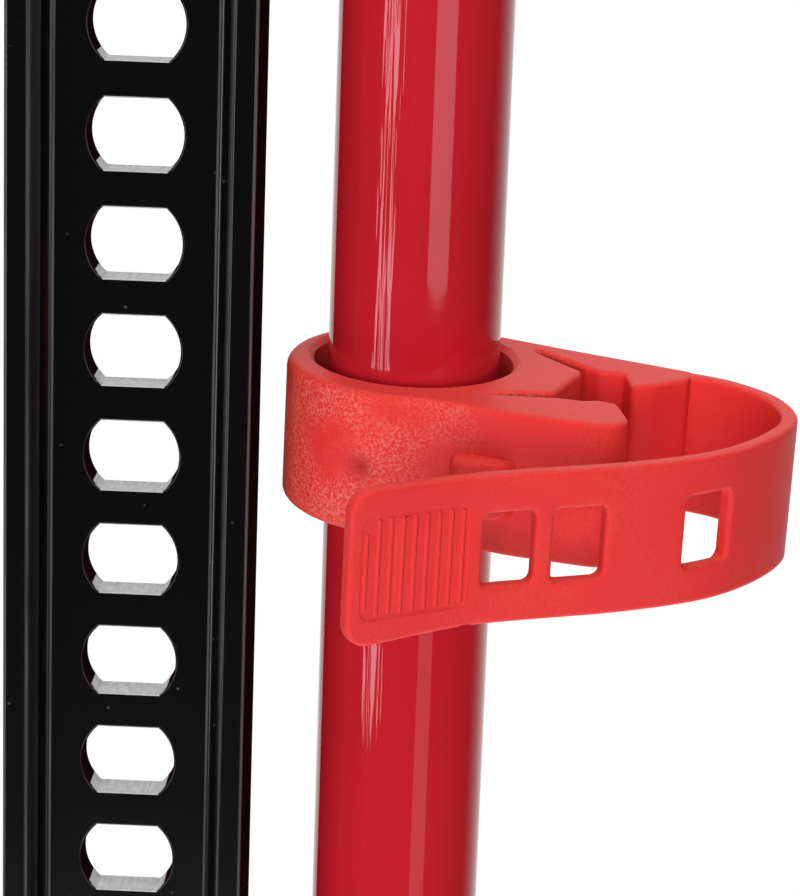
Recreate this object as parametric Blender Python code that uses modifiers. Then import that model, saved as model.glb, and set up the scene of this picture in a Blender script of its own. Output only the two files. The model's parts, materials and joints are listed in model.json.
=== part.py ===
"""A high-lift jack: a holed I-section bar on a foot, a climbing carriage with a lifting nose, the lever
handle stowed upright beside the bar, and a moulded keeper on the handle.

The bar stands on the Z axis, the nose points to -X, the handle is at +X and the bar's holes run along Y.
"""

from math import asin, atan2, ceil, cos, pi, radians, sin, tan

import bmesh
import bpy
from mathutils import Matrix, Vector

MM = 0.001
GAP = 0.3 * MM  # between pieces that touch
RUNNING = 0.6 * MM  # round a piece that slides

# Bar
BAR_LENGTH = 1220 * MM
BAR_WIDTH = 45.24 * MM
BAR_DEPTH = 25.0 * MM
WEB = 7.2 * MM
FLANGE_TIP = 4.5 * MM
FLANGE_ROOT = 6.3 * MM
HOLE_PITCH = 20.0 * MM
HOLE_DIAMETER = 17.56 * MM
HOLE_HEIGHT = 13.15 * MM

# Foot
FOOT_LENGTH = 178 * MM
FOOT_WIDTH = 114 * MM
FOOT_FLOOR = 8 * MM
SOCKET_WALL = 8.5 * MM
SOCKET_HEIGHT = 60 * MM
FOOT_PIN = 11 * MM

# Carriage
SLEEVE_WALL = 8.8 * MM
SLEEVE_SIDE = 6.4 * MM
LARGE_HEIGHT = 150 * MM
SMALL_HEIGHT = 44 * MM
NOSE_REACH = 92 * MM
NOSE_WIDTH = 38 * MM
PIN_PLAY = 1.15 * MM  # between a climbing pin and the flats of the bar's holes
PIN_GRIP = 8 * MM  # how far a pin's tip stands past the middle of the web
PIN_STROKE = 12.5 * MM  # how far a pin draws back to clear the web
CAGE_REACH = 36 * MM
CAGE_WALL = 6 * MM
CAGE_HEIGHT = 22 * MM

# Lever linkage
OVERLIFT = 0.3 * MM  # how far one swing of the handle goes past the next hole
CRANK_START = radians(38)
HANDLE_SWING = radians(90)
PITMAN_LENGTH = 78 * MM
PITMAN_WIDTH = 12 * MM
PITMAN_PLATE = 4 * MM
TONGUE = 18 * MM
PIVOT_BOLT = 9 * MM
PIVOT_OFFSET = 10 * MM  # from the runner's wall to the pivot
EAR = 4 * MM
PITMAN_PIN = 8 * MM

# Handle
SOCKET_CLEARANCE = 1.5 * MM  # between the handle socket and the runners
HANDLE_DIAMETER = 31.75 * MM
HANDLE_WALL = 3.0 * MM
HANDLE_LENGTH = 762 * MM
SOCKET_TUBE_WALL = 4.4 * MM
SOCKET_TUBE_LENGTH = 92 * MM
HANDLE_BOLT = 8 * MM

# Top clamp
CLAMP_HEIGHT = 40 * MM
CLAMP_SIDE = 4.3 * MM
CLAMP_REACH = 54 * MM
CLAMP_BOLT = 12 * MM

# Keeper, in its own frame: the handle's axis is the origin, +X away from the bar, +Y to the back
KEEPER_HEIGHT = 26.8 * MM
KEEPER_TILT = radians(4.6)
KEEPER_ROLL = radians(1.0)
KEEPER_SLACK = 5.25 * MM  # bore over handle
KEEPER_WALL = 5.0 * MM
RING_SHIFT = -2.3 * MM
STRAP_HEIGHT = 26.4 * MM
STRAP_LIFT = 0.2 * MM  # the strap's lower edge over the ring's
STRAP_THICKNESS = 3.0 * MM
WINDOW = (9.3 * MM, 13 * MM)
KEEPER_BELOW_HOLE = 59.5 * MM
KEEPER_HOLE = 38  # the bar's hole that the keeper is stowed below

# Places that follow
BAR_BOTTOM = FOOT_FLOOR + GAP
FIRST_HOLE = BAR_BOTTOM + HOLE_PITCH
HOLES = int((BAR_LENGTH - HOLE_PITCH / 2) / HOLE_PITCH)


def hole_height(number):
    return FIRST_HOLE + number * HOLE_PITCH


CLIMBING_PIN = HOLE_HEIGHT - PIN_PLAY
TRAVEL = HOLE_PITCH + OVERLIFT
CRANK = TRAVEL / (sin(CRANK_START) + sin(HANDLE_SWING - CRANK_START))
LOWER_HOLE = ceil((SOCKET_HEIGHT + TRAVEL + SMALL_HEIGHT / 2 + 3 * MM - FIRST_HOLE) / HOLE_PITCH)
LOWER_PIN_Z = hole_height(LOWER_HOLE)
UPPER_PIN_Z = hole_height(LOWER_HOLE + 5)
SLEEVE_X = BAR_WIDTH / 2 + RUNNING + SLEEVE_SIDE
SLEEVE_Y = BAR_DEPTH / 2 + RUNNING + SLEEVE_WALL
PIVOT_X = SLEEVE_X + PIVOT_OFFSET
PIVOT_Z = LOWER_PIN_Z + PITMAN_LENGTH - CRANK * sin(CRANK_START)
CRANK_X = PIVOT_X + CRANK * cos(CRANK_START)
CRANK_Z = PIVOT_Z + CRANK * sin(CRANK_START)
CRANK_FURTHEST = PIVOT_X + CRANK
CRANK_NEAREST = PIVOT_X + CRANK * cos(HANDLE_SWING - CRANK_START)
LUG_X = (CRANK_FURTHEST + CRANK_NEAREST) / 2
LARGE_BOTTOM = LOWER_PIN_Z + SMALL_HEIGHT / 2 + 5 * MM
LARGE_TOP = LARGE_BOTTOM + LARGE_HEIGHT
PITMAN_INNER = TONGUE / 2 + 0.5 * MM
PITMAN_OUTER = PITMAN_INNER + PITMAN_PLATE
EAR_INNER = PITMAN_OUTER + 2.4 * MM
EAR_OUTER = EAR_INNER + EAR
TUBE_SEAT = CRANK_Z + PITMAN_WIDTH / 2 + 10 * MM
TUBE_BOTTOM = TUBE_SEAT + GAP
SOCKET_RADIUS = HANDLE_DIAMETER / 2 + GAP + SOCKET_TUBE_WALL
HANDLE_OFFSET = SLEEVE_X + SOCKET_CLEARANCE + SOCKET_RADIUS
SOCKET_TOP = TUBE_SEAT + SOCKET_TUBE_LENGTH
HANDLE_TOP = TUBE_BOTTOM + HANDLE_LENGTH
CLAMP_TOP = BAR_BOTTOM + BAR_LENGTH - 14 * MM
CLAMP_BOTTOM = CLAMP_TOP - CLAMP_HEIGHT
LATCH_Z = LARGE_BOTTOM + 18 * MM
KEEPER_Z = hole_height(KEEPER_HOLE) - KEEPER_BELOW_HOLE
KEEPER_BORE = HANDLE_DIAMETER + KEEPER_SLACK
KEEPER_RING = KEEPER_BORE + 2 * KEEPER_WALL

BLACK = ((0.012, 0.012, 0.013, 1), 0.22, 0.0)
RED_CAST = ((0.50, 0.012, 0.016, 1), 0.45, 0.0)
RED_TUBE = ((0.55, 0.006, 0.018, 1), 0.16, 0.0)
ORANGE_RED = ((0.78, 0.045, 0.028, 1), 0.55, 0.0)
ZINC = ((0.62, 0.62, 0.60, 1), 0.35, 1.0)
STEEL = ((0.42, 0.42, 0.43, 1), 0.3, 1.0)


def clear_scene():
    for obj in list(bpy.data.objects):
        bpy.data.objects.remove(obj, do_unlink=True)


def collection(name, hidden=False):
    made = bpy.data.collections.new(name)
    bpy.context.scene.collection.children.link(made)
    made.hide_render = hidden
    return made


clear_scene()
JACK = collection("high_lift_jack")
CUTTERS = collection("cutters", hidden=True)


def give_material(obj, name, look):
    colour, roughness, metallic = look
    material = bpy.data.materials.new(name)
    material.use_nodes = True
    shader = material.node_tree.nodes["Principled BSDF"]
    shader.inputs["Base Color"].default_value = colour
    shader.inputs["Roughness"].default_value = roughness
    shader.inputs["Metallic"].default_value = metallic
    obj.data.materials.clear()
    obj.data.materials.append(material)


def link(name, mesh, location=(0, 0, 0), rotation=(0, 0, 0)):
    obj = bpy.data.objects.new(name, mesh)
    obj.location = location
    obj.rotation_euler = rotation
    JACK.objects.link(obj)
    return obj


def rounded(corners, steps=4):
    """A closed outline through corners (x, y, radius), each corner turned into an arc."""
    points = []
    for index, (x, y, radius) in enumerate(corners):
        here = Vector((x, y))
        if radius == 0:
            points.append(here)
            continue
        back = (Vector(corners[index - 1][:2]) - here).normalized()
        ahead = (Vector(corners[(index + 1) % len(corners)][:2]) - here).normalized()
        half = back.angle(ahead) / 2
        centre = here + (back + ahead).normalized() * (radius / sin(half))
        start = here + back * (radius / tan(half)) - centre
        sweep = (pi - 2 * half) * (1 if back.cross(ahead) < 0 else -1)
        for step in range(steps + 1):
            points.append(centre + Matrix.Rotation(sweep * step / steps, 2) @ start)
    return points


def circle(x, y, radius, steps=24):
    turns = [2 * pi * step / steps for step in range(steps)]
    return [Vector((x + radius * cos(turn), y + radius * sin(turn))) for turn in turns]


def rectangle(half_x, half_y, radius=0.0):
    return rounded([(-half_x, -half_y, radius), (half_x, -half_y, radius),
                    (half_x, half_y, radius), (-half_x, half_y, radius)], 3)


def mesh_of(obj):
    """Turns a curve object into a closed mesh, and removes the curve."""
    bpy.context.view_layer.update()
    evaluated = obj.evaluated_get(bpy.context.evaluated_depsgraph_get())
    mesh = bpy.data.meshes.new_from_object(evaluated)
    work = bmesh.new()
    work.from_mesh(mesh)
    bmesh.ops.remove_doubles(work, verts=work.verts, dist=1e-6)
    work.to_mesh(mesh)
    work.free()
    made = link("shape", mesh)
    made.matrix_world = obj.matrix_world
    name = obj.name
    bpy.data.objects.remove(obj, do_unlink=True)
    made.name = name
    return made


def prism(name, outlines, low, high, axis="Z", bevel=0.0):
    """Outlines (the first is the outside, the rest are holes) drawn out from low to high. On axis Y the
    outline's second coordinate is the height; on axis X the first is Y and the second the height."""
    curve = bpy.data.curves.new(name, "CURVE")
    curve.dimensions = "2D"
    curve.fill_mode = "BOTH"
    curve.extrude = (high - low) / 2
    for outline in outlines:
        spline = curve.splines.new("POLY")
        spline.points.add(len(outline) - 1)
        for point, (x, y) in zip(spline.points, outline):
            point.co = (x, y, 0, 1)
        spline.use_cyclic_u = True
    middle = (low + high) / 2
    places = {"Z": ((0, 0, middle), (0, 0, 0)),
              "Y": ((0, middle, 0), (pi / 2, 0, 0)),
              "X": ((middle, 0, 0), (pi / 2, 0, pi / 2))}
    location, rotation = places[axis]
    made = mesh_of(link(name, curve, location, rotation))
    if bevel:
        edge = made.modifiers.new("edges", "BEVEL")
        edge.width = bevel
        edge.segments = 1
        edge.angle_limit = radians(50)
        edge.limit_method = "ANGLE"
    return made


def cylinder(name, radius, low, high, at=(0, 0), axis="Y", sides=24):
    """A cylinder from low to high. On axis Y, at is (x, z); on axis Z it is (x, y); on X it is (y, z)."""
    middle = (low + high) / 2
    places = {"X": ((middle, at[0], at[1]), (0, pi / 2, 0)),
              "Y": ((at[0], middle, at[1]), (pi / 2, 0, 0)),
              "Z": ((at[0], at[1], middle), (0, 0, 0))}
    location, rotation = places[axis]
    work = bmesh.new()
    bmesh.ops.create_cone(work, cap_ends=True, segments=sides, radius1=radius, radius2=radius,
                          depth=high - low)
    mesh = bpy.data.meshes.new(name)
    work.to_mesh(mesh)
    work.free()
    return link(name, mesh, location, rotation)


def boolean(obj, other, operation):
    modifier = obj.modifiers.new(operation.lower(), "BOOLEAN")
    modifier.operation = operation
    modifier.solver = "EXACT"
    modifier.object = other
    JACK.objects.unlink(other)
    CUTTERS.objects.link(other)
    other.hide_render = True
    other.display_type = "WIRE"
    other.name = f"{obj.name}_{operation.lower()}_{len(obj.modifiers)}"


def cut(obj, *others):
    for other in others:
        boolean(obj, other, "DIFFERENCE")


def join(obj, *others):
    for other in others:
        boolean(obj, other, "UNION")


def finish(obj, look, parent=None):
    """Gives a piece its material and smooth shading, and hangs it on its joint's empty."""
    give_material(obj, obj.name, look)
    obj.data.shade_smooth()
    obj.data.set_sharp_from_angle(angle=radians(35))
    if parent:
        obj.parent = parent
        obj.matrix_parent_inverse = parent.matrix_world.inverted()
    return obj


def joint_empty(name, location, parent=None):
    empty = bpy.data.objects.new(name, None)
    JACK.objects.link(empty)
    empty.location = location
    bpy.context.view_layer.update()
    if parent:
        empty.parent = parent
        empty.matrix_parent_inverse = parent.matrix_world.inverted()
    bpy.context.view_layer.update()
    return empty


def bolt(name, diameter, head_end, tail_end, at, across, head, side=-1):
    """A hexagon-headed bolt along Y, its head outside head_end."""
    low, high = sorted((head_end + side * head / 2, tail_end))
    shank = cylinder(name, diameter / 2, low, high, at, "Y", 20)
    low, high = sorted((head_end + side * head, head_end))
    join(shank, cylinder("head", across / 2 / cos(pi / 6), low, high, at, "Y", 6))
    return shank


def nut(name, diameter, low, high, at, across):
    made = cylinder(name, across / 2 / cos(pi / 6), low, high, at, "Y", 6)
    cut(made, cylinder("thread", diameter / 2 + GAP, low - 5 * MM, high + 5 * MM, at, "Y", 20))
    return made


def coil(name, radius, wire, low, high, turns, at):
    """A coil spring along Y round the point at = (x, z)."""
    curve = bpy.data.curves.new(name, "CURVE")
    curve.dimensions = "3D"
    curve.bevel_depth = wire / 2
    curve.bevel_resolution = 1
    curve.use_fill_caps = True
    steps = turns * 12
    spline = curve.splines.new("POLY")
    spline.points.add(steps)
    for step, point in enumerate(spline.points):
        turn = 2 * pi * step / 12
        reach = low + wire / 2 + (high - low - wire) * step / steps
        point.co = (at[0] + radius * cos(turn), reach, at[1] + radius * sin(turn), 1)
    return mesh_of(link(name, curve))


def double_d(x, z, diameter, height, steps=6):
    """A round hole cut flat above and below."""
    half = asin(height / diameter)
    right = [half * (2 * step / steps - 1) for step in range(steps + 1)]
    turns = right + [pi + turn for turn in right]
    return [Vector((x + diameter / 2 * cos(turn), z + diameter / 2 * sin(turn))) for turn in turns]


# ---------------------------------------------------------------- bar and foot


def rack_bar():
    flat, tip, root, web = BAR_WIDTH / 2, BAR_WIDTH / 2 - FLANGE_TIP, BAR_WIDTH / 2 - FLANGE_ROOT, WEB / 2
    deep = BAR_DEPTH / 2
    corner, edge, fillet = 0.8 * MM, 0.5 * MM, 1.4 * MM
    half = [(flat, deep, corner), (tip, deep, edge), (root, web, fillet),
            (-root, web, fillet), (-tip, deep, edge), (-flat, deep, corner)]
    section = half + [(-x, -y, radius) for x, y, radius in half]
    bar = prism("rack_bar", [rounded(section, 2)], BAR_BOTTOM, BAR_BOTTOM + BAR_LENGTH)
    punch = prism("punch", [double_d(0, FIRST_HOLE, HOLE_DIAMETER, HOLE_HEIGHT)],
                  -WEB, WEB, "Y")
    row = punch.modifiers.new("row", "ARRAY")
    row.count = HOLES
    row.use_relative_offset = False
    row.use_constant_offset = True
    row.constant_offset_displace = (0, HOLE_PITCH, 0)
    cut(bar, punch)
    return finish(bar, BLACK)


def base_plate():
    half_x, half_y = FOOT_LENGTH / 2, FOOT_WIDTH / 2
    socket_x = BAR_WIDTH / 2 + GAP + SOCKET_WALL
    socket_y = BAR_DEPTH / 2 + GAP + SOCKET_WALL
    foot = prism("base_plate", [rectangle(half_x, half_y, 16 * MM)], 0, FOOT_FLOOR, bevel=1.5 * MM)
    join(foot, prism("socket", [rectangle(socket_x, socket_y, 4 * MM)], 2 * MM, SOCKET_HEIGHT))
    rib_x = [(-half_x + 12 * MM, 4 * MM), (half_x - 12 * MM, 4 * MM), (half_x - 12 * MM, 14 * MM),
             (socket_x - 3 * MM, SOCKET_HEIGHT - 8 * MM), (3 * MM - socket_x, SOCKET_HEIGHT - 8 * MM),
             (12 * MM - half_x, 14 * MM)]
    join(foot, prism("long_rib", [rib_x], -4 * MM, 4 * MM, "Y"))
    rib_y = [(-half_y + 9 * MM, 4 * MM), (half_y - 9 * MM, 4 * MM), (half_y - 9 * MM, 12 * MM),
             (socket_y - 3 * MM, SOCKET_HEIGHT - 24 * MM), (3 * MM - socket_y, SOCKET_HEIGHT - 24 * MM),
             (9 * MM - half_y, 12 * MM)]
    for side in (-1, 1):
        middle = side * (socket_x - 7 * MM)
        join(foot, prism("cross_rib", [rib_y], middle - 3 * MM, middle + 3 * MM, "X"))
    room = rectangle(BAR_WIDTH / 2 + GAP, BAR_DEPTH / 2 + GAP)
    cut(foot, prism("room", [room], FOOT_FLOOR, SOCKET_HEIGHT + 5 * MM))
    cut(foot, cylinder("pin_hole", FOOT_PIN / 2 + GAP, -half_y, half_y, (0, hole_height(1))))
    return finish(foot, RED_CAST)


def foot_pin():
    at = (0, hole_height(1))
    outside = BAR_DEPTH / 2 + GAP + SOCKET_WALL
    pin = cylinder("base_pin", FOOT_PIN / 2, -outside - 1 * MM, outside + 9 * MM, at)
    join(pin, cylinder("head", FOOT_PIN * 0.75, -outside - 5 * MM, -outside - GAP, at))
    cut(pin, cylinder("cotter_hole", 1.8 * MM, at[1] - 20 * MM, at[1] + 20 * MM, (0, outside + 4 * MM), "Z", 12))
    finish(pin, ZINC)
    cotter = cylinder("base_cotter", 1.4 * MM, at[1] - 11 * MM, at[1] + 8 * MM, (0, outside + 4 * MM), "Z", 12)
    join(cotter, cylinder("eye", 3.4 * MM, outside + 2.4 * MM, outside + 5.6 * MM, (0, at[1] + 10 * MM)))
    cut(cotter, cylinder("eye_hole", 1.6 * MM, outside, outside + 8 * MM, (0, at[1] + 10 * MM), "Y", 12))
    return finish(cotter, ZINC)


# ---------------------------------------------------------------- carriage


def sleeve(name, low, high):
    """The square tube of a runner, which slides on the bar."""
    outside = rectangle(SLEEVE_X, SLEEVE_Y, 4 * MM)
    inside = rectangle(BAR_WIDTH / 2 + RUNNING, BAR_DEPTH / 2 + RUNNING)
    return prism(name, [outside, inside], low, high)


def pin_cage(runner, height):
    """The bracket in front of a runner that guides a climbing pin and backs its spring."""
    wall = -SLEEVE_Y + SLEEVE_WALL / 2
    outer, inner = 18 * MM, 13 * MM
    reach = -SLEEVE_Y - CAGE_REACH
    bracket = [(-outer, wall), (-outer, reach), (outer, reach), (outer, wall),
               (inner, wall), (inner, reach + CAGE_WALL), (-inner, reach + CAGE_WALL), (-inner, wall)]
    join(runner, prism("cage", [bracket], height - CAGE_HEIGHT / 2, height + CAGE_HEIGHT / 2))
    cut(runner, cylinder("pin_bore", CLIMBING_PIN / 2 + RUNNING, reach - 5 * MM, -BAR_DEPTH / 2,
                         (0, height)))


def large_runner(carriage):
    runner = sleeve("large_runner", LARGE_BOTTOM, LARGE_TOP)
    inside = -SLEEVE_X + 3 * MM
    far = -SLEEVE_X - NOSE_REACH
    top = LARGE_TOP
    nose = rounded([(inside, top - 4 * MM, 0), (inside, top - 96 * MM, 0),
                    (-SLEEVE_X - 34 * MM, top - 52 * MM, 26 * MM), (far + 12 * MM, top - 25 * MM, 10 * MM),
                    (far, top - 8 * MM, 4 * MM), (far + 3 * MM, top + 5 * MM, 3 * MM),
                    (far + 11 * MM, top + 3 * MM, 2 * MM), (far + 18 * MM, top - 8 * MM, 8 * MM),
                    (-SLEEVE_X - 20 * MM, top - 8 * MM, 12 * MM)])
    join(runner, prism("nose", [nose], -NOSE_WIDTH / 2, NOSE_WIDTH / 2, "Y", bevel=2 * MM))
    for side in (-1, 1):
        hollow = rounded([(-SLEEVE_X - 10 * MM, top - 20 * MM, 4 * MM), (-SLEEVE_X - 10 * MM, top - 66 * MM, 6 * MM),
                          (-SLEEVE_X - 34 * MM, top - 44 * MM, 10 * MM),
                          (far + 24 * MM, top - 22 * MM, 4 * MM)])
        face, deep = side * NOSE_WIDTH, side * NOSE_WIDTH / 5
        cut(runner, prism("nose_hollow", [hollow], min(face, deep), max(face, deep), "Y"))
    round_end = PIVOT_BOLT / 2 + 6.5 * MM
    wall = SLEEVE_X - SLEEVE_SIDE / 2
    ear = rounded([(wall, PIVOT_Z + round_end, 0), (wall, PIVOT_Z - 34 * MM, 0),
                   (PIVOT_X + round_end, PIVOT_Z - round_end, round_end * 0.95),
                   (PIVOT_X + round_end, PIVOT_Z + round_end, round_end * 0.95)], 6)
    for side in (-1, 1):
        low, high = sorted((side * EAR_INNER, side * EAR_OUTER))
        join(runner, prism("ear", [ear], low, high, "Y"))
    cut(runner, cylinder("pivot_hole", PIVOT_BOLT / 2 + GAP, -EAR_OUTER - 5 * MM, EAR_OUTER + 5 * MM,
                         (PIVOT_X, PIVOT_Z)))
    pin_cage(runner, UPPER_PIN_Z)
    cut(runner, cylinder("latch_bore", 4 * MM + GAP, -SLEEVE_Y - 5 * MM, -BAR_DEPTH / 2, (0, LATCH_Z)))
    return finish(runner, RED_CAST, carriage)


def small_runner(follower):
    height = LOWER_PIN_Z
    runner = sleeve("small_runner", height - SMALL_HEIGHT / 2, height + SMALL_HEIGHT / 2)
    wall = SLEEVE_X - SLEEVE_SIDE / 2
    round_end = 9.5 * MM
    lug = rounded([(wall, height + round_end, 0), (wall, height - SMALL_HEIGHT / 2 + 3 * MM, 0),
                   (LUG_X + round_end, height - round_end, round_end * 0.95),
                   (LUG_X + round_end, height + round_end, round_end * 0.95)], 6)
    join(runner, prism("lug", [lug], -TONGUE / 2, TONGUE / 2, "Y"))
    cut(runner, cylinder("lug_hole", PITMAN_PIN / 2 + GAP, -TONGUE, TONGUE, (LUG_X, height)))
    pin_cage(runner, height)
    return finish(runner, RED_CAST, follower)


def climbing_pin(which, height, parent, drawn=0):
    """A climbing pin with the cross pin that its spring pushes on, and the spring. A pin that is drawn
    stands that far back from its hole, with its spring pressed together."""
    cage = -SLEEVE_Y - CAGE_REACH
    back = cage - drawn
    slide = joint_empty(f"{which}_pin_slide", (0, 0, height), parent)
    pin = cylinder(f"climbing_pin_{which}", CLIMBING_PIN / 2, back - 14 * MM, PIN_GRIP - 2 * MM - drawn,
                   (0, height))
    tip = cylinder("tip", CLIMBING_PIN / 2 - 1.5 * MM, -drawn, PIN_GRIP - drawn, (0, height))
    knob = cylinder("knob", CLIMBING_PIN / 2 + 3 * MM, back - 18 * MM, back - 12 * MM, (0, height))
    join(pin, tip, knob)
    across = -SLEEVE_Y - 5 * MM - drawn
    cut(pin, cylinder("cross_hole", 2.3 * MM, -20 * MM, 20 * MM, (across, height), "X", 12))
    finish(pin, ZINC, slide)
    cross = cylinder(f"cross_pin_{which}", 2 * MM, -12 * MM, 12 * MM, (across, height), "X", 12)
    finish(cross, ZINC, slide)
    spring = coil(f"pin_spring_{which}", CLIMBING_PIN / 2 + 2.4 * MM, 1.5 * MM,
                  cage + CAGE_WALL + GAP, across - 2 * MM - GAP, 4, (0, height))
    return finish(spring, STEEL, parent)


def reversing_latch(carriage):
    """The lever that sets the jack to lift or to lower, held against the runner by a spring on its pin."""
    hinge = joint_empty("latch_hinge", (0, 0, LATCH_Z), carriage)
    front = -SLEEVE_Y - 2 * MM
    lever = rounded([(-12 * MM, LATCH_Z - 10 * MM, 8 * MM), (12 * MM, LATCH_Z - 10 * MM, 8 * MM),
                     (12 * MM, LATCH_Z + 12 * MM, 8 * MM), (7 * MM, LATCH_Z + 30 * MM, 3 * MM),
                     (-7 * MM, LATCH_Z + 30 * MM, 3 * MM), (-12 * MM, LATCH_Z + 16 * MM, 6 * MM),
                     (-62 * MM, LATCH_Z + 26 * MM, 6 * MM), (-66 * MM, LATCH_Z + 12 * MM, 6 * MM)])
    latch = prism("reversing_latch", [lever], front - 5 * MM, front, "Y")
    knob_at = (-57 * MM, LATCH_Z + 18.5 * MM)
    join(latch, cylinder("knob", 6 * MM, front - 22 * MM, front - 1 * MM, knob_at))
    cut(latch, cylinder("latch_hole", 4 * MM + GAP, front - 10 * MM, front + 5 * MM, (0, LATCH_Z)))
    finish(latch, ZINC, hinge)
    pin = cylinder("latch_pin", 4 * MM, front - 20 * MM, -BAR_DEPTH / 2 - 2 * MM, (0, LATCH_Z))
    join(pin, cylinder("head", 9 * MM, front - 23 * MM, front - 18 * MM, (0, LATCH_Z)))
    finish(pin, ZINC, carriage)
    spring = coil("latch_spring", 6 * MM, 1.4 * MM, front - 18 * MM + GAP, front - 5 * MM - GAP, 4, (0, LATCH_Z))
    return finish(spring, STEEL, carriage)


# ---------------------------------------------------------------- lever linkage


def handle_socket(lever):
    """The casting that holds the handle: a round socket over a tongue with the pivot and the crank."""
    floor = TUBE_SEAT - 6 * MM
    socket = cylinder("handle_socket", SOCKET_RADIUS, floor, SOCKET_TOP, (HANDLE_OFFSET, 0), "Z", 32)
    round_pivot = PIVOT_OFFSET - 1 * MM
    right = CRANK_X + 9.5 * MM
    tongue = rounded([(PIVOT_X - round_pivot, PIVOT_Z - round_pivot, round_pivot * 0.98),
                      (PIVOT_X + round_pivot, PIVOT_Z - round_pivot, round_pivot * 0.9),
                      (right, CRANK_Z - 7 * MM, 5 * MM), (right, floor + 4 * MM, 0),
                      (PIVOT_X - round_pivot, floor + 4 * MM, 0)], 6)
    join(socket, prism("tongue", [tongue], -TONGUE / 2, TONGUE / 2, "Y"))
    bore = HANDLE_DIAMETER / 2 + GAP
    cut(socket, cylinder("socket_bore", bore, TUBE_SEAT, SOCKET_TOP + 5 * MM, (HANDLE_OFFSET, 0), "Z", 32))
    wide = SOCKET_RADIUS + 5 * MM
    for height in handle_bolt_heights():
        cut(socket, cylinder("bolt_hole", HANDLE_BOLT / 2 + GAP, -wide, wide, (HANDLE_OFFSET, height), "Y", 20))
    cut(socket, cylinder("pivot_hole", PIVOT_BOLT / 2 + GAP, -TONGUE, TONGUE, (PIVOT_X, PIVOT_Z)))
    cut(socket, cylinder("crank_hole", PITMAN_PIN / 2 + GAP, -TONGUE, TONGUE, (CRANK_X, CRANK_Z)))
    return finish(socket, RED_CAST, lever)


def handle_bolt_heights():
    return TUBE_SEAT + SOCKET_TUBE_LENGTH * 0.3, TUBE_SEAT + SOCKET_TUBE_LENGTH * 0.76


def handle_tube(lever):
    outer, inner = HANDLE_DIAMETER / 2, HANDLE_DIAMETER / 2 - HANDLE_WALL
    tube = prism("handle_tube", [circle(HANDLE_OFFSET, 0, outer, 48), circle(HANDLE_OFFSET, 0, inner)],
                 TUBE_BOTTOM, HANDLE_TOP)
    for height in handle_bolt_heights():
        cut(tube, cylinder("bolt_hole", HANDLE_BOLT / 2 + GAP, -outer - 5 * MM, outer + 5 * MM,
                           (HANDLE_OFFSET, height), "Y", 20))
    return finish(tube, RED_TUBE, lever)


def handle_fasteners(lever):
    face = SOCKET_RADIUS + GAP
    for place, height in zip(("lower", "upper"), handle_bolt_heights()):
        at = (HANDLE_OFFSET, height)
        finish(bolt(f"handle_bolt_{place}", HANDLE_BOLT, -face, face + 9 * MM, at, 13 * MM, 5.3 * MM), ZINC, lever)
        finish(nut(f"handle_nut_{place}", HANDLE_BOLT, face, face + 6.5 * MM, at, 13 * MM), ZINC, lever)


def pivot_fasteners(carriage):
    at = (PIVOT_X, PIVOT_Z)
    face = EAR_OUTER + GAP
    finish(bolt("pivot_bolt", PIVOT_BOLT, -face, face + 11 * MM, at, 16 * MM, 6.4 * MM), ZINC, carriage)
    finish(nut("pivot_nut", PIVOT_BOLT, face, face + 8 * MM, at, 16 * MM), ZINC, carriage)


def pitman(swing):
    """The two links from the crank to the small runner. Their lower eyes are slots, so that the links can
    stay upright while the crank swings through its arc."""
    slack = (CRANK_FURTHEST - CRANK_NEAREST) / 2 + RUNNING
    pin = PITMAN_PIN / 2
    top, bottom = CRANK_Z + PITMAN_WIDTH / 2, CRANK_Z - PITMAN_LENGTH
    half = PITMAN_WIDTH / 2
    wide = pin + slack + abs(LUG_X - CRANK_X) + 4.5 * MM
    plate = rounded([(CRANK_X - half, top, half * 0.95), (CRANK_X - half, bottom + 20 * MM, 6 * MM),
                     (CRANK_X - wide, bottom + 8 * MM, 6 * MM), (CRANK_X - wide, bottom - 9 * MM, 8 * MM),
                     (CRANK_X + wide, bottom - 9 * MM, 8 * MM), (CRANK_X + wide, bottom + 8 * MM, 6 * MM),
                     (CRANK_X + half, bottom + 20 * MM, 6 * MM), (CRANK_X + half, top, half * 0.95)])
    room = pin + RUNNING + GAP
    reach = slack + pin + abs(LUG_X - CRANK_X)
    slot = rounded([(CRANK_X - reach, bottom - room, room * 0.95), (CRANK_X + reach, bottom - room, room * 0.95),
                    (CRANK_X + reach, bottom + room, room * 0.95), (CRANK_X - reach, bottom + room, room * 0.95)])
    eye = circle(CRANK_X, CRANK_Z, pin + GAP, 20)
    for place, side in (("front", -1), ("rear", 1)):
        low, high = sorted((side * PITMAN_INNER, side * PITMAN_OUTER))
        finish(prism(f"pitman_{place}", [plate, slot, eye], low, high, "Y"), BLACK, swing)


def pitman_pins(lever, follower):
    flush = PITMAN_OUTER + 1.2 * MM
    finish(cylinder("pitman_pin_upper", PITMAN_PIN / 2, -flush, flush, (CRANK_X, CRANK_Z)), ZINC, lever)
    at = (LUG_X, LOWER_PIN_Z)
    lower = cylinder("pitman_pin_lower", PITMAN_PIN / 2, -flush, flush + 7 * MM, at)
    join(lower, cylinder("head", PITMAN_PIN * 0.85, -flush - 2 * MM, -flush + 0.4 * MM, at))
    cut(lower, cylinder("cotter_hole", 1.6 * MM, at[1] - 20 * MM, at[1] + 20 * MM, (LUG_X, flush + 3.5 * MM), "Z", 12))
    finish(lower, ZINC, follower)
    cotter = cylinder("pitman_cotter", 1.2 * MM, at[1] - 9 * MM, at[1] + 9 * MM, (LUG_X, flush + 3.5 * MM), "Z", 12)
    finish(cotter, ZINC, follower)


# ---------------------------------------------------------------- top clamp


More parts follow.
